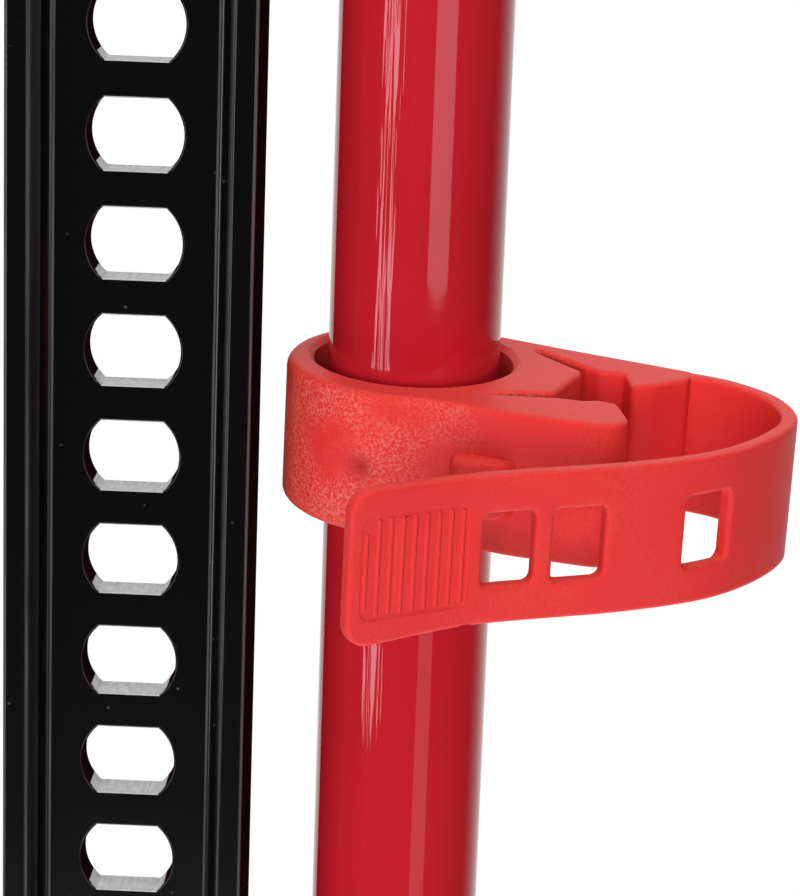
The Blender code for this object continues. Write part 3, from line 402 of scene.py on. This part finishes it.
tree.links.new(skin.outputs["Normal"], shader.inputs["Normal"])

# %% [markdown]
# ## Zinc plate and spring wire
# The pins, bolts and nuts are steel with a bright zinc plate, which is a pale metal with a faint cloud
# of blue and yellow from its passivation. The springs are drawn wire, darker and polished by the die.

# %% Zinc plate and spring wire
zinc, tree, shader, place = new_finish("zinc_plate", 0.3, 1.0)
cloud = add(tree, "ShaderNodeTexNoise", {"Vector": place, "Scale": grain(9 * MM), "Detail": 3.0})
shade = add(tree, "ShaderNodeValToRGB", {"Fac": cloud.outputs["Fac"]})
shade.color_ramp.elements[0].position, shade.color_ramp.elements[1].position = 0.35, 0.7
shade.color_ramp.elements[0].color = srgb("#A9AFB5")
shade.color_ramp.elements[1].color = srgb("#CFCBBB")
tree.links.new(shade.outputs["Color"], shader.inputs["Base Color"])
scuff = add(tree, "ShaderNodeTexNoise", {"Vector": place, "Scale": grain(1.5 * MM), "Detail": 4.0})
rough = add(tree, "ShaderNodeMapRange", {"Value": scuff.outputs["Fac"], "To Min": 0.2, "To Max": 0.45})
tree.links.new(rough.outputs["Result"], shader.inputs["Roughness"])

wire, tree, shader, place = new_finish("drawn_spring_wire", 0.25, 1.0)
drawn = add(tree, "ShaderNodeTexNoise", {"Vector": place, "Scale": grain(2 * MM), "Detail": 3.0})
shade = add(tree, "ShaderNodeValToRGB", {"Fac": drawn.outputs["Fac"]})
shade.color_ramp.elements[0].color = srgb("#5E5F62")
shade.color_ramp.elements[1].color = srgb("#8E8F92")
tree.links.new(shade.outputs["Color"], shader.inputs["Base Color"])
print(len(bpy.data.materials), "materials")

# %% [markdown]
# ## Hand tools
# A few helpers stand for what hands do in the viewport: clear the selection, choose edges or faces by
# where they are, apply a modifier, join shapes and cut them. Operators act on all that is selected, and
# the frame arrives selected, so every piece starts by clearing the selection.


# %% Hand tools
def only(obj):
    """Leaves just this object selected and active."""
    if bpy.context.object and bpy.context.object.mode == "EDIT":
        bpy.ops.object.mode_set(mode="OBJECT")
    bpy.ops.object.select_all(action="DESELECT")
    obj.select_set(True)
    bpy.context.view_layer.objects.active = obj
    return obj


def named(name):
    """Names the primitive that was just added, and puts its place and size into its mesh."""
    made = only(bpy.context.object)
    made.name = made.data.name = name
    bpy.ops.object.transform_apply(location=True, rotation=True, scale=True)
    return made


def pick(obj, kind, wanted):
    """Enters edit mode with the vertices, edges or faces selected whose middle passes the test."""
    only(obj)
    bpy.ops.object.mode_set(mode="EDIT")
    bpy.ops.mesh.select_mode(type=kind)
    bpy.ops.mesh.select_all(action="DESELECT")
    bpy.ops.object.mode_set(mode="OBJECT")
    mesh = obj.data
    items = {"VERT": mesh.vertices, "EDGE": mesh.edges, "FACE": mesh.polygons}[kind]
    count = 0
    for item in items:
        if kind == "VERT":
            chosen = wanted(item.co)
        elif kind == "EDGE":
            a, b = (mesh.vertices[i].co for i in item.vertices)
            chosen = wanted((a + b) / 2, (b - a).normalized())
        else:
            chosen = wanted(item.center, item.normal)
        item.select = chosen
        count += chosen
    bpy.ops.object.mode_set(mode="EDIT")
    return count


def done():
    """Leaves edit mode."""
    bpy.ops.object.mode_set(mode="OBJECT")


def slice_at(obj, point, normal, **settings):
    """Cuts edges through all faces where a plane meets them."""
    pick(obj, "FACE", lambda middle, facing: True)
    bpy.ops.mesh.bisect(plane_co=point, plane_no=normal, **settings)
    done()


def apply(obj, kind, **settings):
    """Adds a modifier with its settings and applies it."""
    only(obj)
    made = obj.modifiers.new(kind.lower(), kind)
    for name, value in settings.items():
        setattr(made, name, value)
    bpy.ops.object.modifier_apply(modifier=made.name)
    return obj


def combine(obj, other, operation):
    """A Boolean with another shape, which is then thrown away."""
    apply(obj, "BOOLEAN", object=other, operation=operation, solver="EXACT")
    bpy.data.objects.remove(other, do_unlink=True)
    return obj


def hand_over(obj, finish, slot, *nodes):
    """Gives a finished piece its material and body, and lets it stand for its CAD nodes."""
    if not obj.data.materials:
        obj.data.materials.append(finish)
    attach(obj, BODY_OF[nodes[0]])
    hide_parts(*nodes)
    return obj


def smooth(obj, angle):
    """Smooth shading, but for edges sharper than this many degrees."""
    only(obj)
    bpy.ops.object.shade_smooth_by_angle(angle=radians(angle))


# %% [markdown]
# ## The bar
# The bar is one section all along: a thin web between two thick flanges, with a hole every 20 mm. So
# one pitch of it is modelled with care, and an Array repeats it. The section starts as a block. Cuts at
# the flanges' edges let the middle be squeezed in Y to the web, and bevels round the rolled corners. The
# hole is a round punch with two flats, and its rim has the small roll that a punch leaves.

# %% One pitch of the bar
WEB = 7.2 * MM
HOLE_DIAMETER, HOLE_HEIGHT = 17.56 * MM, 13.15 * MM
bar_width, bar_depth = bar_high.x - bar_low.x, bar_high.y - bar_low.y
first_hole = bar_low.z + HOLE_PITCH
bpy.ops.object.select_all(action="DESELECT")
bpy.ops.mesh.primitive_cube_add(size=1, location=(0, 0, first_hole), scale=(bar_width, bar_depth, HOLE_PITCH))
bar = named("rack_bar_finished")
for line in (FLANGE_TIP - half_width, FLANGE_ROOT - half_width, half_width - FLANGE_ROOT, half_width - FLANGE_TIP):
    slice_at(bar, (line, 0, 0), (1, 0, 0))
pick(bar, "VERT", lambda co: abs(co.x) < half_width - FLANGE_ROOT + 0.1 * MM)
bpy.ops.transform.resize(value=(1, WEB / bar_depth, 1), center_override=(0, 0, first_hole))
done()
ROLLED_CORNER, FLANGE_EDGE = 0.8 * MM, 0.6 * MM
for place_x, width, segments in ((half_width, ROLLED_CORNER, 4), (half_width - FLANGE_TIP, FLANGE_EDGE, 3),
                                 (half_width - FLANGE_ROOT, ROOT_FILLET, 4)):
    pick(bar, "EDGE", lambda middle, along: abs(along.z) > 0.9 and abs(abs(middle.x) - place_x) < 0.05 * MM)
    bpy.ops.mesh.bevel(offset=width, segments=segments, affect="EDGES")
    done()
bpy.ops.mesh.primitive_cylinder_add(vertices=72, radius=HOLE_DIAMETER / 2, depth=3 * WEB,
                                    location=(0, 0, first_hole), rotation=(pi / 2, 0, 0))
punch = named("punch")
for side in (-1, 1):
    slice_at(punch, (0, 0, first_hole + side * HOLE_HEIGHT / 2), (0, 0, side), use_fill=True, clear_outer=True)
combine(bar, punch, "DIFFERENCE")


def on_hole(point, slack=0.2 * MM):
    """Whether a point lies on the wall of the hole."""
    out = Vector((point.x, point.z - first_hole))
    on_round = abs(out.length - HOLE_DIAMETER / 2) < slack
    on_flat = abs(abs(out.y) - HOLE_HEIGHT / 2) < slack and out.length < HOLE_DIAMETER / 2 + slack
    return on_round or on_flat


RIM_ROLL = 0.45 * MM
rims = pick(bar, "EDGE", lambda middle, along: abs(along.y) < 0.1 and abs(abs(middle.y) - WEB / 2) < 0.05 * MM
            and on_hole(middle))
bpy.ops.mesh.bevel(offset=RIM_ROLL, segments=3, affect="EDGES")
done()
for finish in (black, hole_flats_reflection, dull):
    bar.data.materials.append(finish)
for face in bar.data.polygons:
    inside = on_hole(face.center, 0.35 * MM) and abs(face.center.y) < WEB / 2 - 0.1 * MM
    flat = inside and abs(face.normal.z) > 0.6
    outer = abs(face.center.x) > half_width - 0.8 * MM and abs(face.normal.x) > 0.35 and face.normal.y > -0.5
    face.material_index = 1 if flat else 2 if inside or outer else 0
print("one pitch:", len(bar.data.polygons), "faces,", rims, "rim edges")

# %% [markdown]
# Its end faces are removed before the Array, so that the copies weld into one clean surface. Then each
# open end is drawn out by half a pitch and closed: the bar's plain ends.

# %% Sixty pitches and two plain ends
HOLES = round((bar_high.z - bar_low.z) / HOLE_PITCH) - 1
pick(bar, "FACE", lambda middle, normal: abs(normal.z) > 0.9
     and abs(abs(middle.z - first_hole) - HOLE_PITCH / 2) < 0.1 * MM)
bpy.ops.mesh.delete(type="FACE")
done()
apply(bar, "ARRAY", count=HOLES, use_relative_offset=False, use_constant_offset=True,
      constant_offset_displace=(0, 0, HOLE_PITCH), use_merge_vertices=True, merge_threshold=0.01 * MM)
lowest_edge, highest_edge = first_hole - HOLE_PITCH / 2, first_hole + HOLE_PITCH * (HOLES - 0.5)
for end, edge_z in ((bar_low.z, lowest_edge), (bar_high.z, highest_edge)):
    pick(bar, "EDGE", lambda middle, along: abs(middle.z - edge_z) < 0.02 * MM and abs(along.z) < 0.1)
    bpy.ops.mesh.extrude_region_move(TRANSFORM_OT_translate={"value": (0, 0, end - edge_z)})
    bpy.ops.mesh.edge_face_add()
    done()
pick(bar, "FACE", lambda middle, normal: True)
bpy.ops.mesh.normals_make_consistent(inside=False)
done()
smooth(bar, 30)
apply(bar, "WEIGHTED_NORMAL", keep_sharp=True, weight=60)
hand_over(bar, black, "bar_black", "rack_bar")
print("the bar has", HOLES, "holes and", len(bar.data.polygons), "faces")

# %% [markdown]
# ## The handle
# The handle is plain round tube, open at its top, and its look is all in its roundness: facets would
# break the long highlights. So it has many sides, a real wall, and a small chamfer where it was sawn off.

# %% Handle tube
HANDLE_WALL = 3 * MM
bpy.ops.object.select_all(action="DESELECT")
bpy.ops.mesh.primitive_cylinder_add(vertices=160, radius=tube_radius, depth=tube_high.z - tube_low.z,
                                    end_fill_type="NOTHING", location=tube_middle)
tube = named("handle_tube_finished")
apply(tube, "SOLIDIFY", thickness=HANDLE_WALL, offset=-1)
apply(tube, "BEVEL", width=0.5 * MM, segments=2, limit_method="ANGLE", angle_limit=radians(60))
smooth(tube, 30)
apply(tube, "WEIGHTED_NORMAL", keep_sharp=True, weight=100)
hand_over(tube, powder, "tube_red", "handle_tube")
print("the handle is", round(tube_radius * 2 / MM, 2), "mm across, with", len(tube.data.polygons), "faces")

# %% [markdown]
# ## The keeper's strap
# The strap is hardest to shape where it bends, so it is made flat, as it would be cut, and bent last.
# Flat, it is an outline with rounded end corners and three windows, drawn out to its thickness with a
# rounded edge. A sunk panel with nine ridges makes the tab. Then it is sliced every few millimetres across,
# so that it can bend, and each point is moved to its place beside a smooth route.

# %% Outlines
STRAP_HEIGHT, STRAP_THICKNESS, STRAP_EDGE = 26.4 * MM, 3.0 * MM, 0.85 * MM
STRAP_LIFT = 0.2 * MM  # the strap's lower edge over the ring's
WINDOW = (9.3 * MM, 13 * MM)
WINDOW_MIDDLES, WINDOW_CORNER = (29.6, 42.2, 66.6), 1.5  # mm, the middles from the strap's free end
STRAP_ROUTE = [(47, 0.4), (58, -4.6), (65.8, -14), (66.4, -27), (55.5, -43), (39, -53.2), (12, -63.7),
               (-8.5, -75.2)]  # mm from the bore's middle, from the jaw to the free end


def rounded(corners, steps=6):
    """A closed outline in metres through corners (x, y, radius) in mm, each turned into an arc."""
    points = []
    for index, (x, y, radius) in enumerate(corners):
        here = Vector((x, y))
        if radius == 0:
            points.append(here * MM)
            continue
        back = (Vector(corners[index - 1][:2]) - here).normalized()
        ahead = (Vector(corners[(index + 1) % len(corners)][:2]) - here).normalized()
        half = back.angle(ahead) / 2
        centre = here + (back + ahead).normalized() * (radius / sin(half))
        start = here + back * (radius / tan(half)) - centre
        sweep = (pi - 2 * half) * (1 if back.cross(ahead) < 0 else -1)
        points += [(centre + Matrix.Rotation(sweep * step / steps, 2) @ start) * MM for step in range(steps + 1)]
    return points


def rounded_box(low_x, low_y, high_x, high_y, radius):
    """A closed outline with four equal corners, from sizes in mm."""
    return rounded([(low_x, low_y, radius), (high_x, low_y, radius), (high_x, high_y, radius),
                    (low_x, high_y, radius)])


def slab(name, outlines, low, high, edge):
    """Outlines (the first is the outside, the rest are openings) drawn out from low to high, with
    rounded edges that stay inside the outline."""
    bpy.ops.object.select_all(action="DESELECT")
    curve = bpy.data.curves.new(name, "CURVE")
    curve.dimensions, curve.fill_mode = "2D", "BOTH"
    curve.bevel_depth, curve.bevel_resolution, curve.offset = edge, 3, -edge
    curve.extrude = (high - low) / 2 - edge
    for outline in outlines:
        spline = curve.splines.new("POLY")
        spline.points.add(len(outline) - 1)
        for point, (x, y) in zip(spline.points, outline):
            point.co = (x, y, 0, 1)
        spline.use_cyclic_u = True
    made = bpy.data.objects.new(name, curve)
    scene.collection.objects.link(made)
    only(made)
    bpy.ops.object.convert(target="MESH")
    made = only(bpy.context.object)
    made.location.z = (low + high) / 2
    named(name)
    pick(made, "FACE", lambda middle, normal: True)
    bpy.ops.mesh.remove_doubles(threshold=0.002 * MM)
    bpy.ops.mesh.normals_make_consistent(inside=False)
    done()
    return made


# %% The flat strap, with its windows and tab
def route_points(steps=14):
    """Points of a smooth curve through the route, from the strap's free end to its root, in metres."""
    knots = [Vector(corner) * MM for corner in STRAP_ROUTE[::-1]]
    knots = [2 * knots[0] - knots[1], *knots, 2 * knots[-1] - knots[-2]]
    points = []
    for a, b, c, d in zip(knots, knots[1:], knots[2:], knots[3:]):
        for step in range(steps):
            t = step / steps
            points.append(0.5 * (2 * b + (c - a) * t + (2 * a - 5 * b + 4 * c - d) * t ** 2
                                 + (3 * b - a - 3 * c + d) * t ** 3))
    return [*points, knots[-2]]


route = route_points()
strap_length = sum((b - a).length for a, b in zip(route, route[1:]))
strap_top = STRAP_HEIGHT / MM
TAB_LENGTH, TAB_FLARE, TAB_CORNER = 22, 1.2, 4.2  # mm
outline = rounded([(0, -TAB_FLARE, TAB_CORNER), (TAB_LENGTH, 0, 0), (strap_length / MM, 0, 0),
                   (strap_length / MM, strap_top, 0), (0, strap_top, TAB_CORNER)])
window_x, window_y = WINDOW[0] / MM / 2, WINDOW[1] / MM / 2
windows = [rounded_box(middle - window_x, strap_top / 2 - window_y, middle + window_x,
                       strap_top / 2 + window_y, WINDOW_CORNER) for middle in WINDOW_MIDDLES]
strap = slab("keeper", [outline, *windows], -STRAP_THICKNESS / 2, STRAP_THICKNESS / 2, STRAP_EDGE)
PANEL_DEPTH = 0.3 * MM
PANEL = rounded_box(2.1, 3.4, 22.4, strap_top - 4.4, 2.4)
panel = slab("panel", [PANEL], STRAP_THICKNESS / 2 - PANEL_DEPTH, STRAP_THICKNESS / 2 + 4 * PANEL_DEPTH, 0.28 * MM)
combine(strap, panel, "DIFFERENCE")
RIDGES, FIRST_RIDGE, RIDGE_PITCH, RIDGE_RADIUS = 9, 3.1, 2.25, 0.5 * MM
ridge_level = STRAP_THICKNESS / 2 - PANEL_DEPTH - 0.2 * MM
for number in range(RIDGES):
    short = 2.2 if number == 0 else 0  # the first ridge stops short of the panel's round corners
    low_v, high_v = 4.2 + short / 2, strap_top - 5.2 - short
    ridge_place = ((FIRST_RIDGE + number * RIDGE_PITCH) * MM, (low_v + high_v) / 2 * MM, ridge_level)
    bpy.ops.object.select_all(action="DESELECT")
    bpy.ops.mesh.primitive_cylinder_add(vertices=20, radius=RIDGE_RADIUS, depth=(high_v - low_v) * MM,
                                        location=ridge_place, rotation=(pi / 2, 0, 0))
    ridge = named("ridge")
    pick(ridge, "EDGE", lambda middle, along: abs(along.y) < 0.1)
    bpy.ops.mesh.bevel(offset=0.35 * MM, segments=3, affect="EDGES")
    done()
    combine(strap, ridge, "UNION")
print("the strap is", round(strap_length / MM), "mm long, with", len(strap.data.polygons), "faces")

# %% [markdown]
# Slices across the strap every two millimetres let it follow the bend. Each point then keeps its
# distance along the strap and its distance from the strap's middle surface.

# %% Slice the strap and bend it
SLICE = 2 * MM
for cut in range(1, int(strap_length / SLICE)):
    slice_at(strap, (cut * SLICE, 0, 0), (1, 0, 0))


def beside(distance, aside):
    """The point this far along the route from its free end, and this far to its outer side."""
    last = route[-1]
    for here, there in zip(route, route[1:]):
        step = (there - here).length
        last = (there - here) / step
        if distance <= step:
            break
        distance -= step
    return here + last * distance + Vector((last.y, -last.x)) * aside


for vertex in strap.data.vertices:
    u, v, w = vertex.co
    bent_to = beside(u, w)
    vertex.co = (bent_to.x, bent_to.y, v + STRAP_LIFT - KEEPER_HEIGHT)
strap.data.update()
print("bent:", [round(x / MM, 1) for x in strap.dimensions], "mm")

# %% [markdown]
# ## The keeper's body
# The ring goes round the handle, and a jaw with a pocket reaches out for the bar's edge. The ring is a
# cylinder with well rounded rims. The jaw is an outline again, drawn to the moulding's height with a
# smaller edge. The bore is cut last, through both, with a little flare at each end.

# %% Ring, jaw and peg
KEEPER_BORE, KEEPER_WALL = 37 * MM, 5 * MM
RING_ASIDE, RING_SHIFT = 0.2 * MM, -2.3 * MM  # the ring's middle from the bore's: its front wall is the thick one
RING_EDGE, JAW_EDGE, PEG_EDGE = 1.9 * MM, 1.0 * MM, 1.9 * MM
JAW = [(-6, -24.6, 0), (4, -26.2, 0), (20, -31.6, 30), (39.6, -36.2, 4.5), (36.8, -21.6, 1.3),
       (33.4, -20.2, 1.5), (30.6, -20.9, 1.5), (26, -20.0, 2), (12, -20.3, 0.45), (12, -19.2, 0.45),
       (25.6, -17.4, 1.3), (31.2, -3.6, 1.3), (22.8, 7.2, 0.4), (23.4, 8.5, 0.4),
       (31.0, 0.4, 6), (34.4, -3.2, 1.2), (38.8, -3.2, 1.2), (39.9, -11.4, 1.3), (44, -9.8, 4),
       (50.4, -5.0, 3), (52.0, 0.0, 1.3), (27.4, 10.8, 40), (9.6, 19.2, 0), (0, 16, 0),
       (-9, 10, 0)]  # corners in mm from the bore's middle, each with its radius
bpy.ops.object.select_all(action="DESELECT")
bpy.ops.mesh.primitive_cylinder_add(vertices=144, radius=KEEPER_BORE / 2 + KEEPER_WALL, depth=KEEPER_HEIGHT,
                                    location=(RING_ASIDE, RING_SHIFT, -KEEPER_HEIGHT / 2))
ring = named("ring")
pick(ring, "FACE", lambda middle, normal: abs(normal.z) > 0.9)
bpy.ops.mesh.bevel(offset=RING_EDGE, segments=6, affect="EDGES")
done()
jaw = slab("jaw", [rounded(JAW)], -KEEPER_HEIGHT, 0, JAW_EDGE)
combine(ring, jaw, "UNION")
PEG = [(7.4, -22, 0), (7.8, -34.2, 3.0), (17.5, -33.6, 4.5), (22, -28, 0)]
PEG_TOP, PEG_HEIGHT = -8.8 * MM, 11 * MM
peg = slab("peg", [rounded(PEG)], PEG_TOP - PEG_HEIGHT, PEG_TOP, PEG_EDGE)
combine(ring, peg, "UNION")
combine(strap, ring, "UNION")
bpy.ops.object.select_all(action="DESELECT")
bpy.ops.mesh.primitive_cylinder_add(vertices=128, radius=KEEPER_BORE / 2, depth=KEEPER_HEIGHT + 8 * MM,
                                    location=(0, 0, -KEEPER_HEIGHT / 2))
bore = named("bore")
FLARE = 1.0 * MM
for level in (0, -KEEPER_HEIGHT):
    for step in (-FLARE, 0, FLARE):
        slice_at(bore, (0, 0, level + step), (0, 0, 1))
    pick(bore, "VERT", lambda co: abs(co.z - level) < 0.01 * MM)
    wider = (KEEPER_BORE / 2 + FLARE) / (KEEPER_BORE / 2)
    bpy.ops.transform.resize(value=(wider, wider, 1), center_override=(0, 0, level))
    done()
for level, outward in ((0, 1), (-KEEPER_HEIGHT, -1)):
    pick(bore, "VERT", lambda co: (co.z - level) * outward > 0.5 * FLARE)
    wider = (KEEPER_BORE / 2 + 2 * FLARE) / (KEEPER_BORE / 2)
    bpy.ops.transform.resize(value=(wider, wider, 1), center_override=(0, 0, level))
    done()
combine(strap, bore, "DIFFERENCE")
print("the keeper has", len(strap.data.polygons), "faces")

# %% [markdown]
# The gate, where the plastic came in, is a small pit in a shallow dish, low on the ring's front. Where
# the mould parted, a nick is left in the tab's end and a small notch in the strap's lower edge. These
# are the last cuts. Then the keeper is turned and moved to its seat on the handle. It hangs a little
# askew there, as a loose ring does.


# %% Gate mark, nicks and the keeper's seat
def ball(name, place, radius, squash=(1, 1, 1)):
    """A sphere, squashed along its axes, to cut with."""
    bpy.ops.object.select_all(action="DESELECT")
    bpy.ops.mesh.primitive_uv_sphere_add(segments=32, ring_count=16, radius=radius, location=place, scale=squash)
    return named(name)


DISH_OUT, DISH_RADIUS = 5.9, 6.2  # mm: the ball's middle is this far out, so 0.3 mm of it cuts
outward = Vector((gate.x, gate.y - RING_SHIFT, 0)).normalized()
combine(strap, ball("dish", gate + outward * DISH_OUT * MM, DISH_RADIUS * MM), "DIFFERENCE")
combine(strap, ball("pip", gate, 0.5 * MM), "DIFFERENCE")
tip = beside(-1 * MM, 0)
combine(strap, ball("nick", (tip.x, tip.y, -13.5 * MM), 1.1 * MM, (1, 1, 0.35)), "DIFFERENCE")
notch = beside(23 * MM, 0)
notch_place = (notch.x, notch.y, -KEEPER_HEIGHT + 0.1 * MM)
combine(strap, ball("notch", notch_place, 1.0 * MM, (1.2, 3, 0.6)), "DIFFERENCE")
strap.data.transform(seat)
pick(strap, "FACE", lambda middle, normal: True)
bpy.ops.mesh.remove_doubles(threshold=0.01 * MM)
done()
smooth(strap, 32)
apply(strap, "WEIGHTED_NORMAL", keep_sharp=True, weight=50)
hand_over(strap, rubber, "keeper_rubber", "handle_keeper")
keeper_low, keeper_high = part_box("handle_keeper")
print("the keeper is", len(strap.data.polygons), "faces; its solid is", round((keeper_high.y - keeper_low.y) / MM),
      "mm deep and it is", round(strap.dimensions.y / MM), "mm deep")

# %% [markdown]
# ## Castings and hardware
# The other pieces already have their true shape, and lack only what a foundry or a press gives for
# nothing: edges that aren't sharp. A copy of each is welded into one surface, its flat facets are
# dissolved into whole faces, and a small bevel, sized for how the piece is made, rounds its edges.


# %% Soften the edges of a solid
def soften(node, edge, finish, slot, segments=2):
    """A copy of a CAD node with rounded edges, which stands for it."""
    only(frame["nodes"][node])
    bpy.ops.object.duplicate()
    made = only(bpy.context.object)
    for key in list(made.keys()):
        del made[key]
    made.parent = None
    made.name = made.data.name = node + "_finished"
    made.data.materials.clear()
    pick(made, "FACE", lambda middle, normal: True)
    bpy.ops.mesh.remove_doubles(threshold=0.005 * MM)
    bpy.ops.mesh.dissolve_limited(angle_limit=radians(1.5))
    done()
    apply(made, "BEVEL", width=edge, segments=segments, limit_method="ANGLE", angle_limit=radians(34),
          miter_outer="MITER_ARC", use_clamp_overlap=True)
    smooth(made, 40)
    apply(made, "WEIGHTED_NORMAL", keep_sharp=True, weight=60)
    hand_over(made, finish, slot, node)
    return made


CASTINGS = {"base_plate": 1.2, "large_runner": 1.1, "small_runner": 1.0, "top_clamp": 0.9, "handle_socket": 0.8}
for node, edge in CASTINGS.items():
    made = soften(node, edge * MM, enamel, "casting_red")
    print(node, len(made.data.polygons), "faces")
for node in ("pitman_front", "pitman_rear"):
    soften(node, 0.5 * MM, black, "link_black")
PLATED = ["base_pin", "base_cotter", "clamp_bolt", "clamp_nut", "climbing_pin_upper", "climbing_pin_lower",
          "cross_pin_upper", "cross_pin_lower", "handle_bolt_lower", "handle_bolt_upper", "handle_nut_lower",
          "handle_nut_upper", "latch_pin", "pitman_cotter", "pitman_pin_lower", "pitman_pin_upper", "pivot_bolt",
          "pivot_nut", "reversing_latch"]
for node in PLATED:
    soften(node, 0.35 * MM, zinc, "zinc")

# %% [markdown]
# ## Springs
# A coil spring is a small circle of wire swept round its axis by a Screw modifier. Each climbing pin's
# spring is fixed at one end and pushed by the cross pin at the other; here it is made at the length
# it has in the frame.

# %% Coil springs
COIL_TURNS = 4
PIN_SPRING_WIRE, LATCH_SPRING_WIRE = 1.5 * MM, 1.3 * MM


def coil(name, node, turns, thickness):
    """A coil along Y that fills a node's box."""
    low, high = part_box(node)
    middle = (low + high) / 2
    radius = (high.x - low.x - thickness) / 2
    bpy.ops.object.select_all(action="DESELECT")
    bpy.ops.mesh.primitive_circle_add(vertices=14, radius=thickness / 2, location=(radius, 0, 0))
    made = named(name)
    apply(made, "SCREW", axis="Y", screw_offset=(high.y - low.y - thickness) / turns, iterations=turns, steps=36,
          render_steps=36, use_merge_vertices=False)
    pick(made, "FACE", lambda middle, normal: True)
    bpy.ops.mesh.fill_holes(sides=0)
    bpy.ops.mesh.select_all(action="SELECT")
    bpy.ops.mesh.normals_make_consistent(inside=False)
    done()
    made.data.transform(Matrix.Translation((middle.x, low.y + thickness / 2, middle.z)))
    smooth(made, 40)
    return made


for which, fixed, moving in (("upper", "carriage", "upper_pin"), ("lower", "follower", "lower_pin")):
    node = "pin_spring_" + which
    spring = coil(node + "_finished", node, COIL_TURNS, PIN_SPRING_WIRE)
    spring.data.materials.append(wire)
    low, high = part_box(node)
    middle = (low + high) / 2
    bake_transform(spring)
    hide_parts(node)
    print(spring.name, round((high.y - low.y) / MM, 1), "mm long")
latch_spring = coil("latch_spring_finished", "latch_spring", COIL_TURNS, LATCH_SPRING_WIRE)
hand_over(latch_spring, wire, "spring_steel", "latch_spring")
